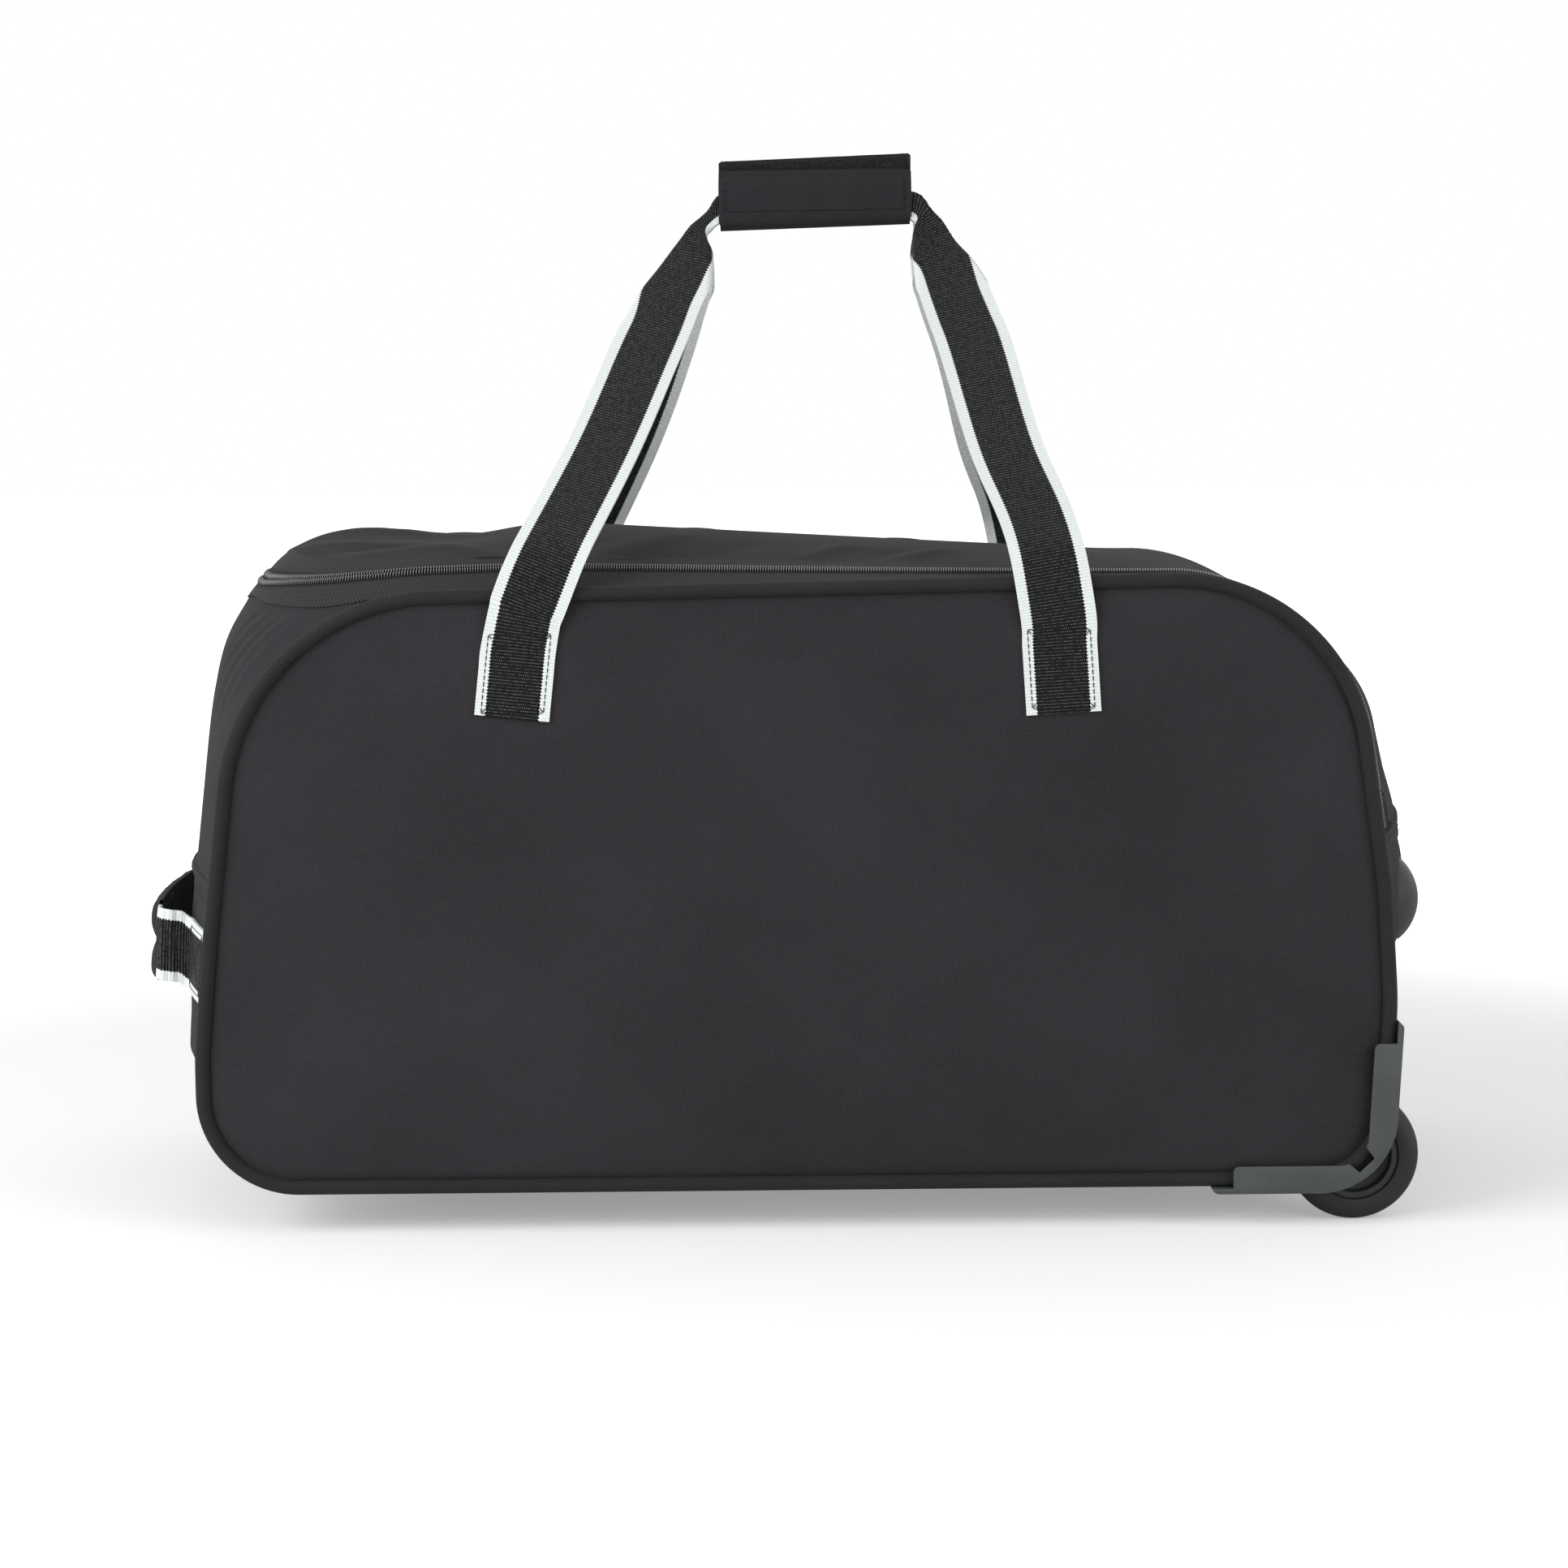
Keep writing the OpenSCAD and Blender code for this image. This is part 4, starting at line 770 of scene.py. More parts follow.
# folds in the lid and in the cloth under the zip's corner: distances from the zip's crossing and from the
# middle, then height and width
lidFolds = [([(0.045, -0.075), (0.092, -0.035), (0.092, 0.035), (0.045, 0.075)], -0.0108, 0.038),
            ([(0.042, -0.092), (0.061, -0.088), (0.082, -0.085), (0.099, -0.088), (0.115, -0.1),
              (0.129, -0.112)], 0.0026, 0.008),
            ([(0.012, -0.026), (0.021, -0.037), (0.03, -0.045), (0.05, -0.056),
              (0.085, -0.062)], 0.0024, 0.007),
            ([(0.018, -0.004), (0.04, -0.016), (0.075, -0.024), (0.12, -0.02)], 0.0022, 0.009),
            ([(0.03, -0.07), (0.05, -0.072), (0.075, -0.071)], -0.0018, 0.007),
            ([(0.16, -0.108), (0.168, -0.085), (0.18, -0.06)], -0.0026, 0.013),
            ([(0.195, -0.1), (0.215, -0.07), (0.24, -0.035)], 0.0022, 0.013),
            ([(0.25, -0.104), (0.265, -0.08), (0.285, -0.05)], -0.0014, 0.011),
            ([(0.306, -0.102), (0.325, -0.072), (0.342, -0.055)], 0.0026, 0.0075),
            ([(0.345, -0.098), (0.357, -0.08), (0.37, -0.06)], -0.0014, 0.008),
            ([(0.36, -0.096), (0.383, -0.072), (0.398, -0.052)], 0.0024, 0.0075),
            ([(0.44, -0.1), (0.465, -0.07), (0.48, -0.03)], 0.0018, 0.012),
            ([(0.05, 0.09), (0.08, 0.08), (0.12, 0.095)], 0.0024, 0.009),
            ([(0.02, 0.03), (0.05, 0.05), (0.09, 0.055)], 0.0022, 0.008),
            ([(0.2, 0.1), (0.23, 0.06), (0.25, 0.03)], 0.002, 0.012),
            ([(0.34, 0.1), (0.36, 0.07), (0.38, 0.05)], 0.0022, 0.009)]
cornerFolds = [([(-0.003, 0.104), (0.012, 0.095), (0.03, 0.082), (0.05, 0.066)], 0.0018, 0.0034),
               ([(-0.005, 0.114), (0.014, 0.107), (0.036, 0.096), (0.06, 0.082)], 0.0019, 0.0036),
               ([(-0.012, 0.124), (0.008, 0.12), (0.03, 0.113), (0.06, 0.1)], 0.0018, 0.0036),
               ([(-0.016, 0.132), (0.004, 0.13), (0.026, 0.125), (0.05, 0.118)], 0.0013, 0.0034),
               ([(0.004, 0.084), (0.02, 0.074), (0.04, 0.06)], 0.0014, 0.0036),
               ([(0.02, 0.03), (0.04, 0.02), (0.07, 0.016)], 0.001, 0.006)]


def lidHalf(s, a):
    back, front = [zipHalf(s, -zipper["lidTape"], side) for side in (False, True)]
    return np.where(a < 0.5, back, front)


# the lid stands up steeply from the zip at the handle end
lid = {"lift": 0.0006, "rise": 0.0034, "riseLong": 0.03}


def endRise(s):
    return lid["rise"] * np.exp(-((zipEnd - s) / lid["riseLong"]) ** 2)


def lidLift(s, y):
    return lid["lift"] + endRise(s) + foldLift(zipEnd - s, y, lidFolds)


# the end cloth is drawn out to the flat backs of the feet
drawn = {"reach": 0.043, "fade": 0.018, "most": 0.008}


def footBack(name):
    co = np.array([v.co for v in nodes[name].data.vertices])
    middle = co.mean(0)
    axis = np.linalg.svd(co - middle, full_matrices=False)[2][2]
    axis *= np.sign(axis[0])
    low = ((co - middle) @ axis).min()
    tilt = math.atan2(axis[2], axis[0])
    return middle + axis * low, np.array([math.hypot(axis[0], axis[2]), axis[1], 0.0]), tilt


feet = {name: footBack(name) for name in ("back_end_foot", "front_end_foot")}


def footLift(s, y):
    points = bandPoint(s, y)
    up = np.zeros(len(s))
    for middle, axis, _ in feet.values():
        gap = (middle - points) @ axis
        flat = points - middle
        away = np.linalg.norm(flat - (flat @ axis)[:, None] * axis, axis=1)
        fade = np.clip((drawn["reach"] - away) / drawn["fade"], 0, 1)
        up += np.clip(gap, 0, drawn["most"]) * eased(fade)
    return up


def cornerLift(s, y):
    return foldLift(s - zipEnd, np.abs(y), cornerFolds)


baseCloth = bandCut("baseCloth", 0, wellFloor, bag["bandHalf"])
cornerCloth = bandCut("wheelCornerCloth", wellFloor, wellTop, well["half"])
wheelEndCloth = bandCut("wheelEndCloth", wellTop, wheelSeam, bag["bandHalf"], footLift)
handleEndCloth = bandCut("handleEndCloth", handleSeam, seamLength, bag["bandHalf"])
handleUpperCloth = bandCut("handleUpperCloth", underTape, handleSeam, bag["bandHalf"], cornerLift)
lidCloth = bandCut("lidCloth", wheelSeam, zipEnd - zipper["lidTape"] - zipper["lidGap"], lidHalf, lidLift)


# a side panel stretched between four stretches of the seam
def panelCut(name, side):
    low, right, top, left = [(runStarts[2 * k] + runStarts[2 * k + 1]) / 2 for k in (0, 1, 4, 5)]

    def at(s0, s1, f):
        s = (s0 + (s1 - s0) * f) % seamLength
        return np.stack([np.interp(s, edgeS, v, period=seamLength) for v in (edgeX, edgeZ)], -1)

    def place(a, b):
        a = a if side < 0 else 1 - a
        floor, roof = at(low, right, a), at(left, top, a)
        start, end = at(low + seamLength, left, b), at(right, top, b)
        a2, b2 = a[:, None], b[:, None]
        zero, one = np.zeros(1), np.ones(1)
        c00, c10 = at(low, right, zero), at(low, right, one)
        c01, c11 = at(left, top, zero), at(left, top, one)
        corners = (1 - a2) * (1 - b2) * c00 + a2 * (1 - b2) * c10 + (1 - a2) * b2 * c01 + a2 * b2 * c11
        p = (1 - b2) * floor + b2 * roof + (1 - a2) * start + a2 * end - corners
        y = panelOut(p[:, 0], p[:, 1])
        return np.stack([p[:, 0] + shiftX, side * y, p[:, 1]], -1), p
    return cutCloth(name, place)


backPanel = panelCut("backPanelCloth", -1)
frontPanel = panelCut("frontPanelCloth", 1)

for name in ("back_end_foot", "front_end_foot", "back_base_foot", "front_base_foot"):
    low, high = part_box(name)
    held.append(((np.array(low) + np.array(high)) / 2, hold["round"]))
for side in (-1, 1):
    low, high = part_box("back_handle_ends" if side < 0 else "front_handle_ends")
    for x in (low.x + hold["patchIn"], high.x - hold["patchIn"]):
        held.append((np.array([x, (low.y + high.y) / 2, (low.z + high.z) / 2]), hold["round"]))
    pullEnd = bandPoint(np.array([seamAtDrop(13, hold["pullDrop"])]), np.array([side * hold["pullY"]]))[0]
    held.append((pullEnd, hold["round"]))
    low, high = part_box("back_wheel_guard" if side < 0 else "front_wheel_guard")
    guard = np.array([high.x - hold["guardIn"], side * hold["guardY"], high.z - hold["guardDown"]])
    held.append((guard, hold["guardRound"]))
fillCloth()
print("cloth cut, filled and sewn")

body = "bag_body"
sewnPieces = {"base_panel": baseCloth, "wheel_corner_panel": cornerCloth, "wheel_end_panel": wheelEndCloth,
              "handle_end_panel": handleEndCloth, "handle_end_upper": handleUpperCloth,
              "back_panel": backPanel, "front_panel": frontPanel}
for node, piece in sewnPieces.items():
    dress(piece, bagCloth, body, [node])
dress(lidCloth, bagCloth, None, ["lid_panel", "lid_hinge_strip"])
bendAt = lidBend + np.array([-zipper["bendHalf"], zipper["bendHalf"]])
bendLow, bendHigh = bandPoint(bendAt, np.zeros(2), 0.001)
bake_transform(lidCloth)


# rolled and folded edges across the ends
hem = {
    "inset": 0.0005, "thick": 0.0008, "gather": 0.012, "drawn": 0.15, "grid": (150, 16),
    # start and end from the seam, puckering, seed, then lifts at shares of the way down
    "handleEndFold": (-0.0006, 0.0052, 0.0002, 61, [
        (0, -0.0004), (0.08, 0.0014), (0.25, 0.0025), (0.5, 0.003), (0.75, 0.0024), (0.92, 0.0012),
        (1, -0.0004)]),
    "wheelEndFold": (-0.0145, 0.0006, 0.0005, 62, [
        (0, 0.0006), (0.3, 0.0014), (0.5, 0.0017), (0.75, 0.0022), (0.92, 0.0036), (0.98, 0.0026),
        (1, -0.0002)]),
}


def endFold(name, seamS):
    start, end, pucker, seed, profile = hem[name]
    shares, lifts = np.array(profile).T

    def place(a, b):
        y = (2 * a - 1) * (bag["bandHalf"] - hem["inset"])
        s = seamS + start + (end - start) * b
        gather = ripple(np.stack([y, 0 * y, s * hem["drawn"]], -1), hem["gather"], pucker, seed)
        up = np.interp(b, shares, lifts) + gather * np.sin(math.pi * b) ** 2
        return bandPoint(s, y, up), np.stack([y, s], -1)
    obj = layGrid(name, *hem["grid"], place)
    soften(obj)
    return dress(smooth(thicken(obj, hem["thick"])), bagCloth, body)


endFold("handleEndFold", handleSeam)
wheelFold = endFold("wheelEndFold", wheelSeam)

# piping
welt = {"radius": 0.0042, "around": 18, "along": 460}


def makePiping(name, side):
    def place(a, b):
        s = b * seamLength
        x, z, nx, nz, _ = seamAt(s)
        t = (a - 0.5) * 2 * math.pi
        out = welt["radius"] * np.sin(t)
        y = side * (bag["halfWidth"] + welt["radius"] * np.cos(t))
        return np.stack([x + nx * out + shiftX, y, z + nz * out], -1), np.stack([s, t * welt["radius"]], -1)
    obj = layGrid(name, welt["around"], welt["along"], place)
    editMesh(obj, weld(), faceOut)
    return smooth(obj)


for name, side, node in (("backPiping", -1, "back_piping"), ("frontPiping", 1, "front_piping")):
    dress(makePiping(name, side), tapeCloth, body, [node])
print("piping run round both panels")


# zip tapes and coils
def zipStrip(name, across, inner, outer, lift, rise=0.0):
    def place(a, b):
        s0, y0 = inner(b)
        s1, y1 = outer(b)
        s, y = s0 + (s1 - s0) * a, y0 + (y1 - y0) * a
        wide = np.hypot(s1 - s0, y1 - y0)
        return bandPoint(s, y, lift + rise * a * endRise(s)), np.stack([b * zipLength, wide * a], -1)
    return thicken(layGrid(name, across, zipper["tapeSteps"], place), zipper["tapeThick"])


def lidSide(b):
    return zipPlace(b, -zipper["meet"])


def underLid(b):
    return zipPlace(b, -zipper["lidTape"] - zipper["underLid"])


def bodySide(b):
    return zipPlace(b, zipper["meet"])


lidTape = zipStrip("lidZipTape", 8, lidSide, underLid, zipper["lidTapeLift"], 1.0)
dress(lidTape, zipTapeCloth, None)
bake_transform(lidTape)
bodyTape = zipStrip("bodyZipTape", 14, bodySide, edgePlace, zipper["bodyTapeLift"])
dress(bodyTape, zipTapeCloth, body, ["back_zip_band", "front_zip_band"])


# one turn of the coil, arched across half the zip
def toothShape():
    def place(a, b):
        turn, share = a * 2 * math.pi, 2 * b - 1
        r = zipper["wire"] * (1 - zipper["taper"] * np.abs(share) ** 3)
        x, y = share * zipper["reach"] / 2, zipper["squash"] * r * np.cos(turn)
        z = r * np.sin(turn) + zipper["arch"] * (1 - share ** 2)
        return np.stack([x, y, z], -1), np.stack([a, b], -1)
    obj = layGrid("tooth", 6, 5, place)
    editMesh(obj, weld(), faceOut)
    return obj


# turns of coil on one side of the zip, where keep allows them; nudge and step measure its directions
def coilRow(name, tooth, sign, keep, nudge=0.001, step=0.0005):
    count = int(zipLength / zipper["pitch"])
    t = (np.arange(2, count - 2) + zipper["shift"]) / count
    t = t[keep(zipPlace(t, 0)[0])]
    middle = zipper["reach"] / 2 - zipper["overlap"]

    def at(tt, off, up=0.0):
        return bandPoint(*zipPlace(tt, sign * off), zipper["coilLift"] + up)
    origins = at(t, middle)
    sides = unit(at(t, middle + nudge) - at(t, middle - nudge))
    ways = unit(at(np.minimum(t + step, 1), middle) - at(np.maximum(t - step, 0), middle))
    ups = np.cross(sides, ways)
    ups *= np.sign((ups * (at(t, middle, nudge) - origins)).sum(1))[:, None]
    obj = copyAlong(name, tooth, origins, sides, ways, ups)
    editMesh(obj, faceOut)
    return smooth(obj)


tooth = toothShape()
bodyCoil = coilRow("bodyZipCoil", tooth, 1, lambda s: s > 0)
dress(bodyCoil, coilNylon, body, ["zip_coil_body"])
stubCoil = coilRow("stubZipCoil", tooth, -1, lambda s: s < lidBend - zipper["part"])
dress(stubCoil, coilNylon, body)
lidCoil = coilRow("lidZipCoil", tooth, -1, lambda s: s > lidBend + zipper["part"])
dress(lidCoil, coilNylon, "lid", ["zip_coil_lid"])
bpy.data.objects.remove(tooth)


# the folded tab of cloth over the zip's start on the back
tab = {"above": 0.0002, "long": 0.021, "off": 0.0036, "wide": 0.0085, "lift": 0.0016, "puff": 0.0026,
       "crumple": 0.009, "crumpleHigh": 0.0007, "thick": 0.0008, "grid": (14, 20)}


def tabPlace(a, b):
    s = wheelSeam + tab["above"] + tab["long"] * b
    y = -(zipHalf(s, 0) - tab["off"] - tab["wide"] * a)
    crumple = ripple(np.stack([a * 0.02, b * 0.03, 0 * a], -1), tab["crumple"], tab["crumpleHigh"], 71)
    up = tab["lift"] + tab["puff"] * np.sin(math.pi * np.clip(a, 0, 1)) * (1 - 0.4 * b) + crumple
    return bandPoint(s + crumple, y + crumple, up), np.stack([y, s], -1)


zipTab = thicken(soften(layGrid("zipTab", *tab["grid"], tabPlace)), tab["thick"])
dress(zipTab, gripCloth, body)
print("zip sewn in")

# webbing carry handles
strap = {
    "half": 0.0215, "thick": 0.0018, "legs": (-0.1565, 0.153), "leans": (6, -3), "hingeZ": 0.3536,
    "hingeY": 0.161315, "rise": 0.043, "bend": 0.014, "middleY": 0.0028, "slantTop": 0.58755,
    "bulge": 0.0022, "bulgeFade": 0.011, "slip": 0.0042, "slipTop": 0.28, "slipFade": 0.13,
    # the sewn patch below, where it lets go of the panel, and the rounds of the folds
    "patch": (-0.05, -0.037, -0.024, -0.011), "sewnTop": 0.004, "sewnFade": 0.014,
    "foldRound": (0.001, 0.0019), "grid": (60, 330),
    # in mm: outer edge along the bag and up the strap, inner edge likewise, where both edges fold back
    "left": [(-174, 14, -133, 4, -21.5, 21.5), (-169, 30, -129, 13, -21.5, 21.5),
             (-131, 124, -91, 110, -21.5, 21.5), (-107, 198, -67, 183, -21.5, 21.5),
             (-96, 222, -59, 208, -19, 21.5), (-88, 241, -53, 228, -15, 21.5),
             (-77, 259, -49, 249, -12, 18), (-67, 276, -49, 272, -8, 11.5), (-59, 290, -51, 282, -3, 13),
             (-54, 295, -51, 288, 0, 15), (-48, 301, -47, 292, 1, 19), (-43, 309, -42, 294, 2, 21),
             (-36, 312, -36, 296, 2, 21.5), (-28, 312, -28, 297, 2, 21.5)],
    "right": [(174, 12, 131, 6, -21.5, 21.5), (163, 71, 121, 61, -21.5, 21.5),
              (147, 125, 105, 115, -21.5, 21.5), (133, 199, 90, 189, -21.5, 21.5),
              (126, 225, 84, 214, -21.5, 21.5), (120, 244, 80, 233, -21, 21),
              (111, 263, 79, 254, -16, 17), (101, 277, 78, 271, -11, 11), (93, 293, 79, 285, -7, 10),
              (87, 300, 79, 293, -2, 15), (81, 309, 77, 294, 1.5, 21), (71, 312, 71, 296, 2, 21.5),
              (62, 313, 62, 297, 2, 21.5)],
}
slantAcross = strap["hingeY"] - strap["middleY"]
slantUp = strap["slantTop"] - strap["hingeZ"] - strap["rise"]
slantLength, slantAngle = math.hypot(slantAcross, slantUp), math.atan2(slantAcross, slantUp)


# depth and height of the strap's middle at a length up the strap; below zero it lies on the panel
def strapPlace(x, q):
    over = q - strap["rise"]
    f = np.clip((over + strap["bend"]) / (2 * strap["bend"]), 0, 1)
    above = np.clip((over - slantLength + strap["bend"]) / (2 * strap["bend"]), 0, 1)
    inward = np.where(over > slantLength + strap["bend"], slantLength, over - strap["bend"] * above ** 2)
    inward = np.where(over > strap["bend"], inward, strap["bend"] * f * f)
    depth = strap["hingeY"] - inward * math.sin(slantAngle)
    z = strap["hingeZ"] + q - inward * (1 - math.cos(slantAngle))
    sewn = np.clip((strap["sewnTop"] - q) / strap["sewnFade"], 0, 1)
    return depth + (panelOut(x, z) + strap["thick"] - depth) * sewn, z


# a curve through all the points
def smoothCurve(pts, steps=24):
    fine = []
    for k in range(len(pts) - 1):
        a, b, c, d = pts[max(k - 1, 0)], pts[k], pts[k + 1], pts[min(k + 2, len(pts) - 1)]
        square, cube = 2 * a - 5 * b + 4 * c - d, 3 * b - a - 3 * c + d
        for f in np.linspace(0, 1, steps, endpoint=False):
            fine.append(0.5 * (2 * b + (c - a) * f + square * f * f + cube * f ** 3))
    return np.array(fine + [pts[-1]])


# rows at even steps along the strap: both edges, and where they fold back
def strapLine(steps=500):
    half, points = strap["half"], []
    for i, leg in ((0, strap["left"]), (1, strap["right"])):
        lean, out = math.tan(math.radians(strap["leans"][i])), half * (2 * i - 1)
        rows = []
        for q in strap["patch"]:
            x = strap["legs"][i] + q * lean
            rows.append((x + out, q - lean * out, x - out, q + lean * out, -half, half))
        rows += [tuple(v / 1000 for v in row) for row in leg]
        points += rows if i == 0 else rows[::-1]
    fine = smoothCurve(np.array(points))
    run = runAlong((fine[:, :2] + fine[:, 2:4]) / 2)
    even = np.linspace(0, run[-1], steps)
    return atRun(even, run, fine), even


# where a place across the strap goes, sideways and back, when its edges fold behind it
def foldAcross(t, outer, inner, wide):
    flat = -wide + (t - outer) / (inner - outer) * 2 * wide
    deep = np.zeros(len(t))
    for sign, edge, r in zip((-1, 1), (outer, inner), strap["foldRound"]):
        over = np.maximum(sign * (t - edge), 0)
        most = np.maximum(strap["half"] - sign * edge - math.pi * r, 0.00001)
        squeeze = np.minimum(1, np.maximum(2 * wide - 0.002, 0.001) / most)
        turn = np.minimum(over / r, math.pi)
        back = np.maximum(over - math.pi * r, 0) * squeeze
        flat = np.where(over > 0, sign * (wide + r * np.sin(turn) - back), flat)
        deep = np.where(over > 0, r * (1 - np.cos(turn)), deep)
    return flat, deep


# the front strap is sewn on a little nearer the wheels
def strapSlip(side, q):
    fade = np.clip((strap["slipTop"] - q) / strap["slipFade"], 0, 1)
    return strap["slip"] * eased(fade) if side > 0 else 0.0


def makeStrap(name, side):
    line, run = strapLine()

    def place(a, b):
        d = b * run[-1]
        outX, outQ, inX, inQ, outer, inner = atRun(d, run, line).T
        wide = np.hypot(inX - outX, inQ - outQ) / 2
        t = (a - 0.5) * 2 * strap["half"]
        flat, deep = foldAcross(t, outer, inner, wide)
        lift = strap["bulge"] * np.clip((strap["half"] - wide) / strap["bulgeFade"], 0, 1) - deep
        share = flat / (2 * wide) + 0.5
        x, q = outX + (inX - outX) * share, outQ + (inQ - outQ) * share
        x = x + strapSlip(side, q)
        depth, z = strapPlace(x, q)
        depth2, z2 = strapPlace(x, q + 0.001)
        up = unit(np.stack([depth2 - depth, z2 - z], -1))
        y = depth + up[:, 1] * lift
        z = z - up[:, 0] * lift
        return np.stack([x + shiftX, side * y, z], -1), np.stack([d, t], -1)
    return thicken(layGrid(name, *strap["grid"], place), strap["thick"])


for name, side, owner in (("backCarryStrap", -1, "back"), ("frontCarryStrap", 1, "front")):
    stands = [owner + "_carry_handle", owner + "_handle_ends"]
    piece = dress(makeStrap(name, side), webbing, None, stands)
    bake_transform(piece)
print("carry handles sewn on")

# hook-and-loop grip
grip = {
    "low": -0.042, "high": 0.0753, "wall": 0.007, "closed": 0.0026, "foldZ": 0.59255, "foldDrop": 0.005,
    "shoulder": 0.61355, "neck": 0.61955, "top": 0.63055, "flapLow": 0.592, "flapTop": 0.6226,
    "thick": 0.002, "cut": 0.0008, "cutHigh": 0.002, "puff": 0.0011, "corner": 0.0016, "wave": 0.03,
    "waveHigh": 0.00045, "hem": 0.0036, "groove": 0.00045, "grooveWide": 0.0007, "grid": (150, 70),
    "lineSteps": 200,
    # how far the fold below and the wrap's top edge lie off the level at the left and right ends
    "foldSlope": (-0.0009, 0.0024), "topSlope": (-0.002, 0.0021), "slopeZ": 0.612, "slopeLow": 0.02,
    "slopeHigh": 0.009,
    # the hook and loop strips
    "stripIn": 0.004, "stripLow": 0.6201, "loopDown": 0.0018, "hookDown": 0.0005, "fuzz": 0.0009,
    "stripThick": 0.0008, "stripGrid": (170, 16),
}


# a line's corners rounded off towards its middle
def linePoints(line, b, width=14, ends=20):
    line = np.array(line)
    run = runAlong(line)
    count = grip["lineSteps"]
    fine = np.linspace(0, run[-1], count)
    soft = atRun(fine, run, line)
    kernel = np.ones(2 * width + 1) / (2 * width + 1)
    ease = np.minimum(1, np.minimum(np.arange(count), np.arange(count)[::-1]) / ends)[:, None]
    for _ in range(2):
        longer = np.concatenate([np.repeat(soft[:1], width, 0), soft, np.repeat(soft[-1:], width, 0)])
        mean = np.stack([np.convolve(longer[:, k], kernel, "valid") for k in range(2)], -1)
        soft = soft + (mean - soft) * ease
    d = b * run[-1]
    return atRun(d, fine, soft), d


def gripWall(side, low, top):
    wall, closed = side * grip["wall"], side * grip["closed"]
    return [(wall, low), (wall, grip["shoulder"]), (closed, grip["neck"]), (closed, top)]


# the fold below and the wrap's top aren't level
def gripTilt(x, z, topSlope):
    share = np.clip((x - grip["low"]) / (grip["high"] - grip["low"]), 0, 1)
    low = grip["foldSlope"][0] + (grip["foldSlope"][1] - grip["foldSlope"][0]) * share
    high = topSlope[0] + (topSlope[1] - topSlope[0]) * share
    down = np.clip((grip["slopeZ"] - z) / grip["slopeLow"], 0, 1)
    up = np.clip((z - grip["neck"]) / grip["slopeHigh"], 0, 1)
    return low * down + high * up


# stitching lines pressed in along the sides and the top
def gripGroove(x, z, top):
    fromSide = np.minimum(x - grip["low"], grip["high"] - x)
    pressed = [np.exp(-((away - grip["hem"]) / grip["grooveWide"]) ** 2) for away in (fromSide, top - z)]
    return grip["groove"] * np.minimum(pressed[0] + pressed[1], 1)


def gripCut(name, line, side, puff, seed, topSlope, cutFold=False):
    top = line[-1][1]

    def place(a, b):
        p, d = linePoints(line, b)
        inset = np.zeros(len(a))
        if cutFold:
            inset = grip["cut"] * np.clip((grip["foldZ"] - p[:, 1]) / grip["cutHigh"], 0, 1)
        near = np.clip(1 - (top - p[:, 1]) / grip["corner"], 0, 1)
        inset = inset + grip["corner"] * (1 - np.sqrt(1 - near ** 2))
        x = grip["low"] + inset + (grip["high"] - grip["low"] - 2 * inset) * a
        edge = (1 - np.abs(2 * a - 1) ** 6) * (1 - np.abs(2 * b - 1) ** 6)
        wave = ripple(np.stack([x, p[:, 1], p[:, 0]], -1), grip["wave"], grip["waveHigh"], seed)
        out = side * (puff * edge + wave * edge - gripGroove(x, p[:, 1], top))
        z = p[:, 1] + gripTilt(x, p[:, 1], topSlope)
        return np.stack([x + shiftX, p[:, 0] + out, z], -1), np.stack([x, d], -1)
    return thicken(layGrid(name, *grip["grid"], place), grip["thick"])


foldRound = np.radians(np.arange(180, 360, 12))
foldLine = [(grip["wall"] * math.cos(a), grip["foldZ"] + grip["foldDrop"] * math.sin(a)) for a in foldRound]
foldLine += gripWall(1, grip["foldZ"], grip["top"])
wrapPiece = gripCut("gripWrap", foldLine, 1, 0.0, 31, grip["topSlope"], cutFold=True)
dress(wrapPiece, gripCloth, "front_handle", ["grip_wrap"])
flapLine = gripWall(-1, grip["flapLow"], grip["flapTop"])
flapPiece = gripCut("gripFlap", flapLine, -1, grip["puff"], 32, (0, 0))
dress(flapPiece, gripCloth, None, ["grip_flap"])
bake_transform(flapPiece)


# a strip whose face is rough all over but at its edges
def fuzzStrip(name, side, top, topSlope, seed):
    rng = np.random.RandomState(seed)
    low = grip["stripLow"]

    def place(a, b):
        x = grip["low"] + grip["stripIn"] + (grip["high"] - grip["low"] - 2 * grip["stripIn"]) * a
        z = low + (top - low) * b
        inside = (a > 0.004) & (a < 0.996) & (b > 0.02) & (b < 0.98)
        y = side * grip["fuzz"] - side * rng.uniform(0.0, grip["fuzz"], len(a)) * inside
        return np.stack([x + shiftX, y, z + gripTilt(x, z, topSlope)], -1), np.stack([x, z], -1)
    return thicken(layGrid(name, *grip["stripGrid"], place), grip["stripThick"], side)


loopStrip = fuzzStrip("gripLoopStrip", 1, grip["top"] - grip["loopDown"], grip["topSlope"], 33)
dress(loopStrip, fuzzTape, "front_handle", ["grip_loop_strip"])
hookStrip = fuzzStrip("gripHookStrip", -1, grip["flapTop"] - grip["hookDown"], (0, 0), 34)
dress(hookStrip, fuzzTape, "grip_flap", ["grip_hook_strip"])
print("grip wrapped")

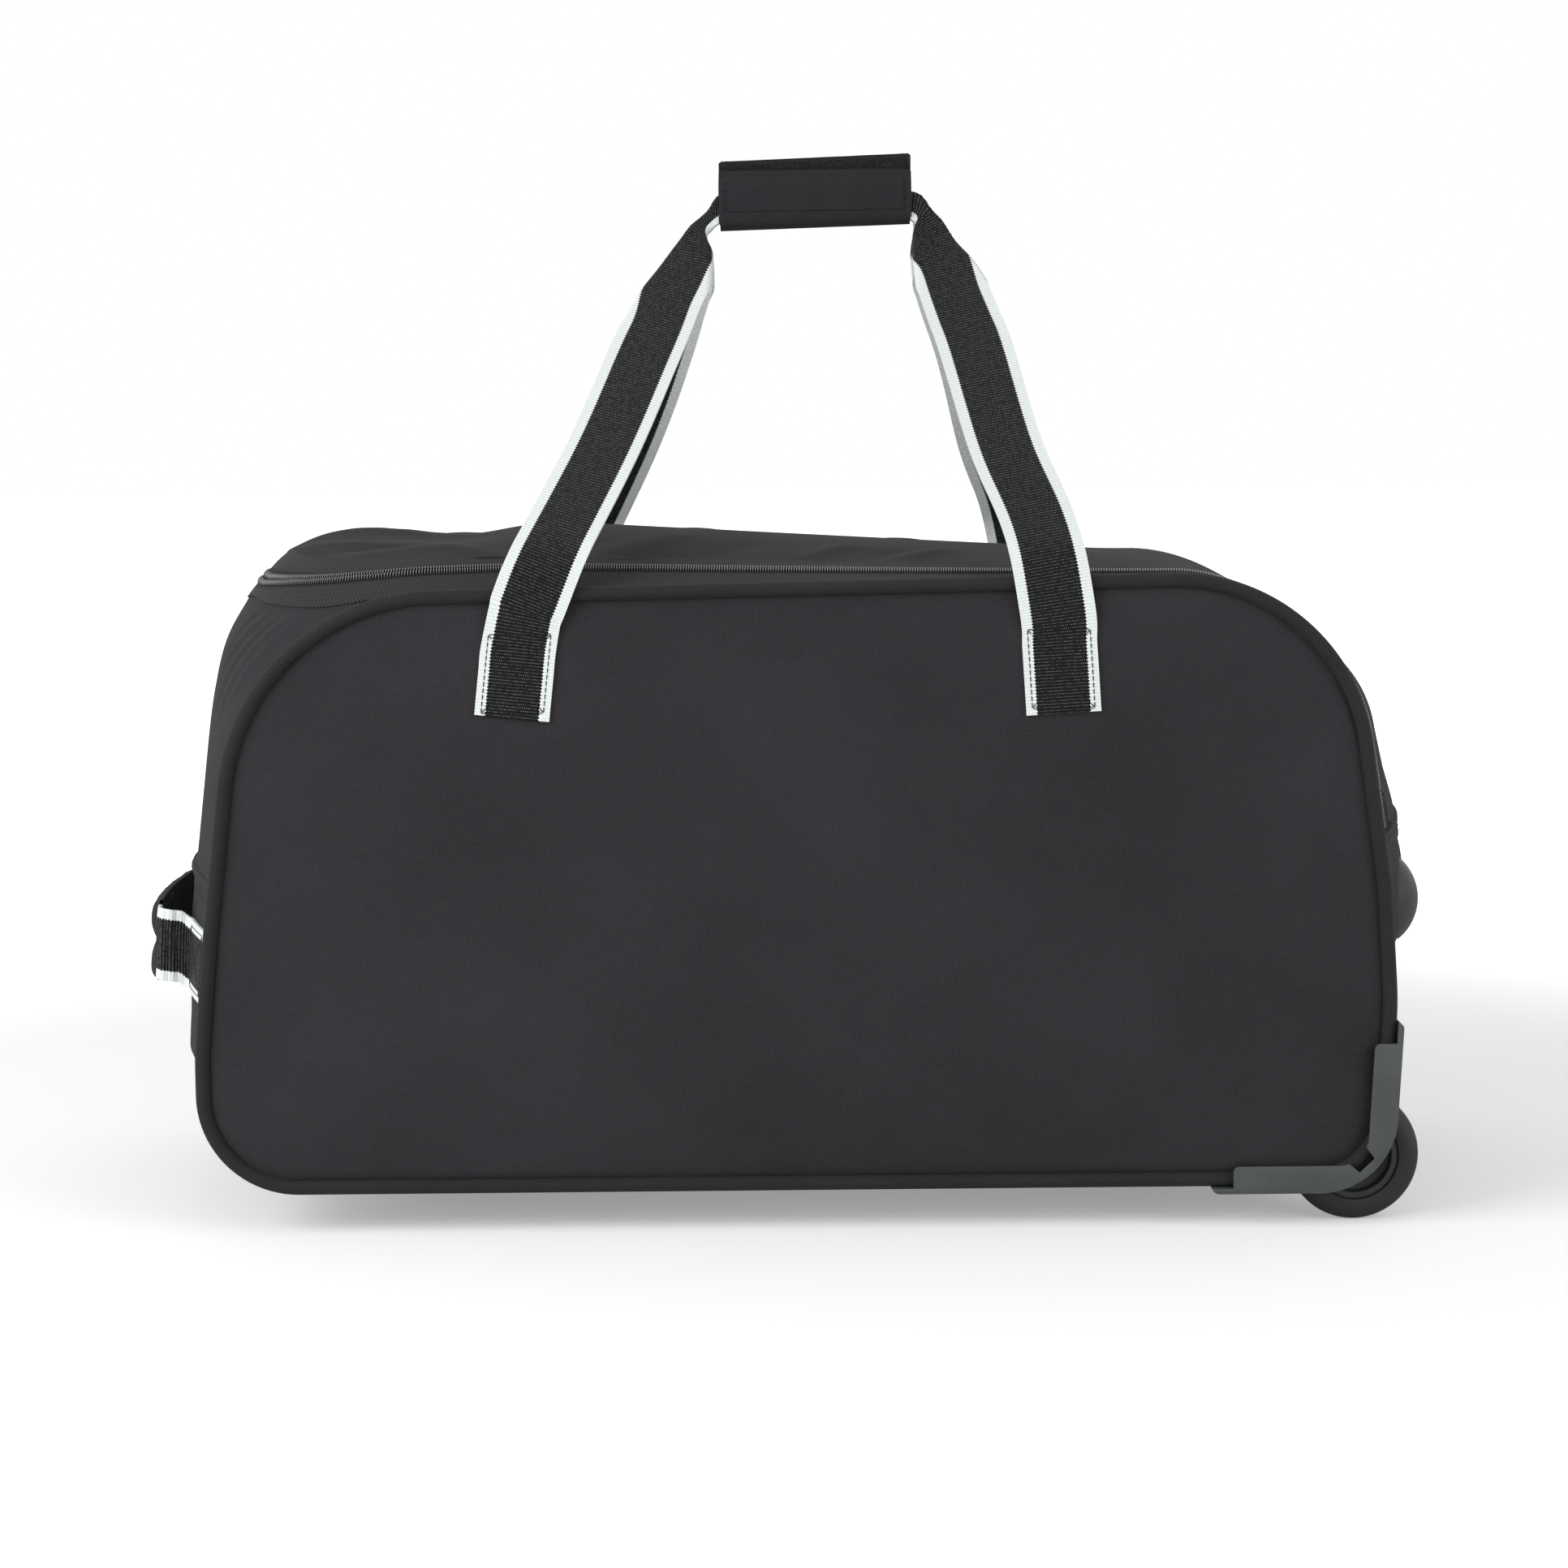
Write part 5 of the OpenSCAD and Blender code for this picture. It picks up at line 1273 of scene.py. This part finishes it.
# end pull handle
pull = {
    "height": 0.1292, "sag": -0.0033, "sagRise": 0.007, "taut": 0.6, "reach": 0.02, "half": 0.1,
    "sewn": 0.1478, "lift": 0.0026, "corner": 0.008, "foot": 0.004, "grid": (30, 300),
    # small crinkles where the strap is off the cloth
    "looseAt": 0.006, "crinkle": 0.0005, "crinkleLong": 0.0062, "crinkleSlant": 60, "wave": 0.02,
    "waveHigh": 0.0003,
    # the sleeve
    "coverHalf": 0.084, "cover": 0.0245, "lobe": 0.005, "under": 0.0006, "thin": 0.00125, "taper": 0.07,
    "crease": 0.03, "creaseHigh": 0.0005, "coverGrid": (60, 110),
}
pullSeam = seamAtDrop(13, pull["height"])


# the handle's squared loop: across the end, off the cloth, and the two parts of its outward direction
def pullLine():
    half, foot, corner = pull["half"], pull["foot"], pull["corner"]
    base, top = pull["lift"], pull["lift"] + pull["reach"]
    rows = [(-y, base, 0, 1) for y in np.linspace(pull["sewn"], half + foot, 14, endpoint=False)]
    for a in np.radians(np.linspace(0, 90, 8, endpoint=False)):
        out = (-math.cos(math.pi / 2 - a), math.sin(math.pi / 2 - a))
        rows.append((-half - foot + foot * math.sin(a), base + foot * (1 - math.cos(a)), *out))
    for lift in np.linspace(base + foot, top - corner, 10, endpoint=False):
        rows.append((-half, lift, -1, 0))
    for a in np.radians(np.linspace(0, 90, 12, endpoint=False)):
        out = (-math.cos(a), math.sin(a))
        rows.append((-half + corner * (1 - math.cos(a)), top - corner * (1 - math.sin(a)), *out))
    rows += [(-y, top, 0, 1) for y in np.linspace(half - corner, 0, 30, endpoint=False)]
    mirrored = [(-y, lift, -ny, nl) for y, lift, ny, nl in rows[::-1]]
    line = np.array(rows + [(0, top, 0, 1)] + mirrored)
    return line, runAlong(line[:, :2])


pullRows, pullRun = pullLine()


# the strap keeps its width where the round of the end would spread it, and its loop hangs a little
def pullPlace(d, t, out):
    y, lift, ny, nl = atRun(d, pullRun, pullRows).T
    middle = np.full(len(y), pullSeam)
    spread = bandPoint(middle + strap["half"], y, lift) - bandPoint(middle - strap["half"], y, lift)
    narrow = 2 * strap["half"] / np.linalg.norm(spread, axis=1)
    drop = pull["sag"] * eased(np.clip((lift - pull["lift"]) / pull["sagRise"], 0, 1))
    bow = np.maximum(pull["half"] ** 2 - y ** 2, 0) / bag["bandHalf"] ** 2
    taut = pull["taut"] * seamAt(pullSeam)[4] * bow
    return bandPoint(pullSeam + t * narrow + drop, y + ny * out, lift - taut + nl * out)


def pullStrap(a, b):
    d, t = b * pullRun[-1], (a - 0.5) * 2 * strap["half"]
    off = np.clip((pullRows[:, 1] - pull["looseAt"]) / pull["looseAt"], 0, 1)
    crinkle = pull["crinkle"] * np.sin(d * 2 * math.pi / pull["crinkleLong"] + t * pull["crinkleSlant"])
    crinkle = crinkle + ripple(np.stack([d, t, 0 * d], -1), pull["wave"], pull["waveHigh"], 42)
    return pullPlace(d, t, crinkle * np.interp(d, pullRun, off)), np.stack([d, t], -1)


pullPiece = thicken(layGrid("endPullStrap", *pull["grid"], pullStrap), strap["thick"])
dress(pullPiece, webbing, body, ["end_handle_strap"])


# a soft sleeve in two lobes, drawn in along its middle and thin at both ends
def pullCover(a, b):
    turn = a * 2 * math.pi
    d = pullRun[-1] / 2 + (b - 0.5) * 2 * pull["coverHalf"]
    t = pull["cover"] * np.cos(turn)
    ends = np.clip((1 - np.abs(2 * b - 1)) / pull["taper"], 0, 1) ** 0.5
    lobes = np.where(np.sin(turn) > 0, pull["lobe"] * np.abs(np.sin(2 * turn)) ** 0.7, pull["under"])
    thick = np.sign(np.sin(turn)) * np.abs(np.sin(turn)) ** 0.35 * (pull["thin"] + lobes * ends)
    crease = ripple(np.stack([d * 2.5, t, thick], -1), pull["crease"], pull["creaseHigh"], 41)
    out = thick + crease * (np.sin(turn) > 0.05) * ends
    return pullPlace(d, t, out), np.stack([d, a * 0.1], -1)


coverPiece = layGrid("endPullGrip", *pull["coverGrid"], pullCover)
editMesh(coverPiece, weld(), faceOut)
smooth(coverPiece)
dress(coverPiece, sleeveLightenedCloth, body, ["end_handle_grip"])
print("end handle sewn on")

# sewing
seam = {
    "stitch": 0.0035, "space": 0.0001, "thread": 0.00034, "sink": 0.4, "proud": 0.00012, "patchIn": 0.0035,
    # where the boxes with a cross end on the carry straps and on the end handle
    "patch": (-0.047, -0.002), "pullEnd": (0.108, 0.1445), "steps": 24,
    # rows across the ends, the sleeve's tack and the flap's rows
    "acrossEnd": 0.146, "wheelRows": (0.0056, 0.012), "handleRow": 0.0125, "tackIn": 0.0015,
    "tackHalf": 0.0022, "tackLift": 0.0016, "flapY": -0.0085, "flapLow": (0.5975, 0.5985),
    "flapTop": 0.6192, "flapSteps": 40,
}


def threadShape():
    clearSelection()
    bpy.ops.mesh.primitive_uv_sphere_add(segments=6, ring_count=4, radius=1)
    obj = bpy.context.object
    bpy.ops.object.mode_set(mode="EDIT")
    bpy.ops.mesh.select_all(action="SELECT")
    bpy.ops.transform.resize(value=(seam["thread"], seam["stitch"] / 2, seam["thread"]))
    bpy.ops.object.mode_set(mode="OBJECT")
    return obj


thread = threadShape()


# each row is its points and the directions that face out of the cloth
def sew(name, rows, owner, mat=darkThread, step=0.0005):
    sets = [[], [], [], []]
    for points, outs in rows:
        points, outs = np.asarray(points, float), np.asarray(outs, float)
        run = runAlong(points)
        count = max(1, int(run[-1] / (seam["stitch"] + seam["space"])))
        d = (np.arange(count) + 0.5) / count * run[-1]
        way = unit(atRun(d + step, run, points) - atRun(d - step, run, points))
        side = unit(np.cross(way, atRun(d, run, outs)))
        for made, part in zip(sets, (atRun(d, run, points), side, way, np.cross(side, way))):
            made.append(part)
    obj = copyAlong(name, thread, *[np.concatenate(v) for v in sets])
    editMesh(obj, faceOut)
    return dress(smooth(obj), mat, owner)


def bandRow(s, y, lift):
    s, y = np.broadcast_arrays(np.asarray(s, float), np.asarray(y, float))
    points = bandPoint(s, y, lift)
    return points, bandPoint(s, y, lift + 0.001) - points


# a row laid onto a finished piece of cloth
def onto(obj, row):
    points, outs = row
    bpy.context.view_layer.update()
    laid = [np.array(obj.closest_point_on_mesh(Vector(p + o * 3))[1]) for p, o in zip(points, outs)]
    return np.array(laid) + unit(outs) * seam["thread"] * seam["sink"], outs


def boxAndCross(low, high):
    wide = strap["half"] - seam["patchIn"]
    corner = np.array([(-wide, low), (wide, low), (wide, high), (-wide, high)])
    f = np.linspace(0, 1, seam["steps"])
    for a, b in ((0, 1), (1, 2), (2, 3), (3, 0), (0, 2), (1, 3)):
        yield [corner[a][k] + (corner[b][k] - corner[a][k]) * f for k in (0, 1)]


def patchRows(side):
    rows = []
    proud = strap["thick"] / 2 + seam["proud"]
    for leg, degrees in zip(strap["legs"], strap["leans"]):
        lean = math.tan(math.radians(degrees))
        for t, q in boxAndCross(*seam["patch"]):
            x = leg + q * lean + t + strapSlip(side, q)
            depth, z = strapPlace(x, q)
            points = np.stack([x + shiftX, side * (depth + proud), z], -1)
            rows.append((points, np.tile([0.0, side, 0.0], (seam["steps"], 1))))
    return rows


def pullRow(d, t, out):
    at = pullPlace(d, t, out)
    return at, pullPlace(d, t, out + 0.001) - at


def pullEndRows():
    rows = []
    for side in (-1, 1):
        for t, y in boxAndCross(*seam["pullEnd"]):
            d = np.interp(side * y, pullRows[:, 0], pullRun)
            rows.append(pullRow(d, t, strap["thick"] / 2 + seam["proud"]))
    return rows


def flapRow(x0, z0, x1, z1):
    count = seam["flapSteps"]
    f = np.linspace(0, 1, count)
    x, z = x0 + (x1 - x0) * f, z0 + (z1 - z0) * f
    points = np.stack([x + shiftX, np.full(count, seam["flapY"]), z], -1)
    return onto(flapPiece, (points, np.tile([0.0, -0.001, 0.0], (count, 1))))


acrossEnd = np.linspace(-seam["acrossEnd"], seam["acrossEnd"], 90)
sew("backPatchStitches", patchRows(-1), body)
sew("frontPatchStitches", patchRows(1), body)
sew("endPullStitches", pullEndRows(), body)
wheelRows = [onto(wheelFold, bandRow(wheelSeam - d, acrossEnd, 0.001)) for d in seam["wheelRows"]]
sew("wheelEndStitches", wheelRows, body)
handleRow = onto(handleEndCloth, bandRow(handleSeam + seam["handleRow"], acrossEnd, 0.001))
sew("handleEndStitches", [handleRow], body)
tackAlong = np.full(12, pullRun[-1] / 2 - pull["coverHalf"] + seam["tackIn"])
tackAcross = np.linspace(-seam["tackHalf"], seam["tackHalf"], 12)
sew("endPullTack", [pullRow(tackAlong, tackAcross, seam["tackLift"])], body, paleThread)
hemLow, hemHigh = grip["low"] + grip["hem"], grip["high"] - grip["hem"]
flapLeft, flapRight = seam["flapLow"]
flapRows = [flapRow(hemLow, flapLeft, hemHigh, flapRight),
            flapRow(hemLow, flapLeft, hemLow, seam["flapTop"]),
            flapRow(hemHigh, flapRight, hemHigh, seam["flapTop"])]
sew("gripFlapStitches", flapRows, "grip_flap")
bpy.data.objects.remove(thread)
print("seams stitched")

# moulded and metal solids, with their edges rounded; the guards' rounded edges take a paler colour, a
# painted highlight
guardFinish = (guardPlastic, guardEdgeHighlight, "guard_plastic")
footFinish = (footPlastic, footPlastic, "guard_plastic")
tyreFinish = (tyreRubber, tyreRubber, "wheel_rubber")
hubFinish = (hubPlastic, hubPlastic, "hub_plastic")
hard = {
    "round": 0.0006, "bevelAngle": 40,
    "bag_body": {"back_wheel_guard": guardFinish, "front_wheel_guard": guardFinish,
                 "back_end_foot": footFinish, "front_end_foot": footFinish,
                 "back_base_foot": footFinish, "front_base_foot": footFinish},
    "back_wheel": {"back_tyre": tyreFinish, "back_hub": hubFinish},
    "front_wheel": {"front_tyre": tyreFinish, "front_hub": hubFinish},
    "zip_slider": {"zip_slider": (sliderMetal, sliderMetal, "slider_metal")},
    "zip_pull": {"zip_pull": (pullRubber, pullRubber, "pull_rubber")},
}


def dissolveFlat():
    bpy.ops.mesh.dissolve_limited(angle_limit=math.radians(1))


def roundSolid(node, owner, mat, edgeMat):
    source = nodes[node]
    first, *rest = node.split("_")
    obj = bpy.data.objects.new(first + "".join(word.title() for word in rest), source.data.copy())
    bpy.context.scene.collection.objects.link(obj)
    obj.data.materials.clear()
    editMesh(obj, weld(0.00001), dissolveFlat)
    if node in feet:
        middle, _, tilt = feet[node]
        turn = np.array(Matrix.Rotation(tilt, 3, "Y"))
        writePoints(obj, (readPoints(obj) - middle) @ turn.T + middle)
    dress(obj, mat, owner, [node])
    obj.data.materials.append(edgeMat)
    applyModifier(obj, "Edges", "BEVEL", width=hard["round"], segments=2, limit_method="ANGLE",
                  angle_limit=math.radians(hard["bevelAngle"]), material=1, use_clamp_overlap=True)
    return smooth(obj, hard["bevelAngle"])


for owner in ("bag_body", "back_wheel", "front_wheel", "zip_slider", "zip_pull"):
    for node, (mat, edgeMat, slot) in hard[owner].items():
        roundSolid(node, owner, mat, edgeMat)
plain = {"base_board": boardPlastic, "back_axle": plainSteel, "front_axle": plainSteel,
         "guard_rivets": plainSteel, "foot_rivets": plainSteel, "back_bearings": plainSteel,
         "front_bearings": plainSteel}
for name, mat in plain.items():
    nodes[name].data.materials.clear()
    nodes[name].data.materials.append(mat)
print("moulded pieces dressed")

# camera, lamps and floor; the focal length is measured in the picture's pixels
view = {
    "back": 2.2423, "high": 0.4934, "down": 6.3, "roll": -0.55, "aside": -0.0053, "focalPixels": 4468.1,
    "picturePixels": 1932, "sensor": 36,
}
panelLow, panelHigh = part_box("back_panel")
lens = bpy.data.cameras.new("camera")
lens.lens = view["focalPixels"] / view["picturePixels"] * view["sensor"]
lens.sensor_width = view["sensor"]
camera = bpy.data.objects.new("camera", lens)
bpy.context.scene.collection.objects.link(camera)
camera.location = ((panelLow.x + panelHigh.x) / 2 + view["aside"], -view["back"], view["high"])
aim = Matrix.Rotation(math.radians(90 - view["down"]), 4, "X")
camera.rotation_euler = (aim @ Matrix.Rotation(math.radians(view["roll"]), 4, "Z")).to_euler()
bpy.context.scene.camera = camera

# the sky is white to the camera and in reflections, and dimmer as light
sky = {"light": 0.45, "more": 0.55}
scene = bpy.context.scene
scene.view_settings.view_transform = "Standard"
world = bpy.data.worlds.new("studio")
scene.world = world
world.use_nodes = True
paths = world.node_tree.nodes.new("ShaderNodeLightPath").outputs
rays = ("Is Camera Ray", "Is Glossy Ray", "Is Transmission Ray")
direct, glossy, through = [Flow(world.node_tree, paths[name]) for name in rays]
bright = direct.larger(glossy).larger(through)
background = world.node_tree.nodes["Background"]
background.inputs["Color"].default_value = (1, 1, 1, 1)
world.node_tree.links.new((bright * sky["more"] + sky["light"]).socket, background.inputs["Strength"])

# place, width and height, power
lamps = {
    "keyLamp": ((-2.0, -1.4, 1.4), (2.0, 1.8), 44), "fillLamp": ((2.3, -1.7, 1.0), (1.8, 1.6), 25),
    "topLamp": ((0.0, 0.3, 2.6), (2.6, 1.6), 3), "lowLamp": ((-2.0, -2.0, 0.35), (1.6, 0.6), 7),
}
lampAim = Vector((0, 0, 0.3))
for name, (place, size, power) in lamps.items():
    lamp = bpy.data.lights.new(name, "AREA")
    lamp.shape = "RECTANGLE"
    lamp.size, lamp.size_y = size
    lamp.energy = power
    holder = bpy.data.objects.new(name, lamp)
    scene.collection.objects.link(holder)
    holder.location = place
    holder.rotation_euler = (lampAim - Vector(place)).to_track_quat("-Z", "Y").to_euler()

# the floor glows a little, more so away from the bag
ground = {"size": 30, "grey": 0.9, "rough": 0.9, "near": 0.7, "far": 1.6, "glow": 0.3, "more": 0.8}
clearSelection()
bpy.ops.mesh.primitive_plane_add(size=ground["size"], location=(0, 0, 0))
floor = bpy.context.object
floor.name = "floor"
paleFloor, pale, paleShader = startMaterial("pale floor")
paleShader.inputs["Base Color"].default_value = (*[ground["grey"]] * 3, 1)
paleShader.inputs["Roughness"].default_value = ground["rough"]
paleShader.inputs["Specular IOR Level"].default_value = 0.0
plainLit = Flow(paleFloor.node_tree, paleShader.outputs[0])
fromMiddle = pale.node("VectorMath", {"operation": "LENGTH"}, {0: pale.node("TexCoord", out=3)}, out=1)
strength = fromMiddle.between(ground["near"], ground["far"]) * ground["more"] + ground["glow"]
glow = pale.node("Emission", None, {"Color": (1, 1, 1, 1), "Strength": strength})
glowing = pale.node("AddShader", None, {0: plainLit, 1: glow})
# only the camera sees the glow
both = pale.node("MixShader", None, {0: pale.node("LightPath"), 1: plainLit, 2: glowing})
paleFloor.node_tree.links.new(both.socket, paleFloor.node_tree.nodes["Material Output"].inputs["Surface"])
floor.data.materials.append(paleFloor)
print("camera, lamps and floor set")
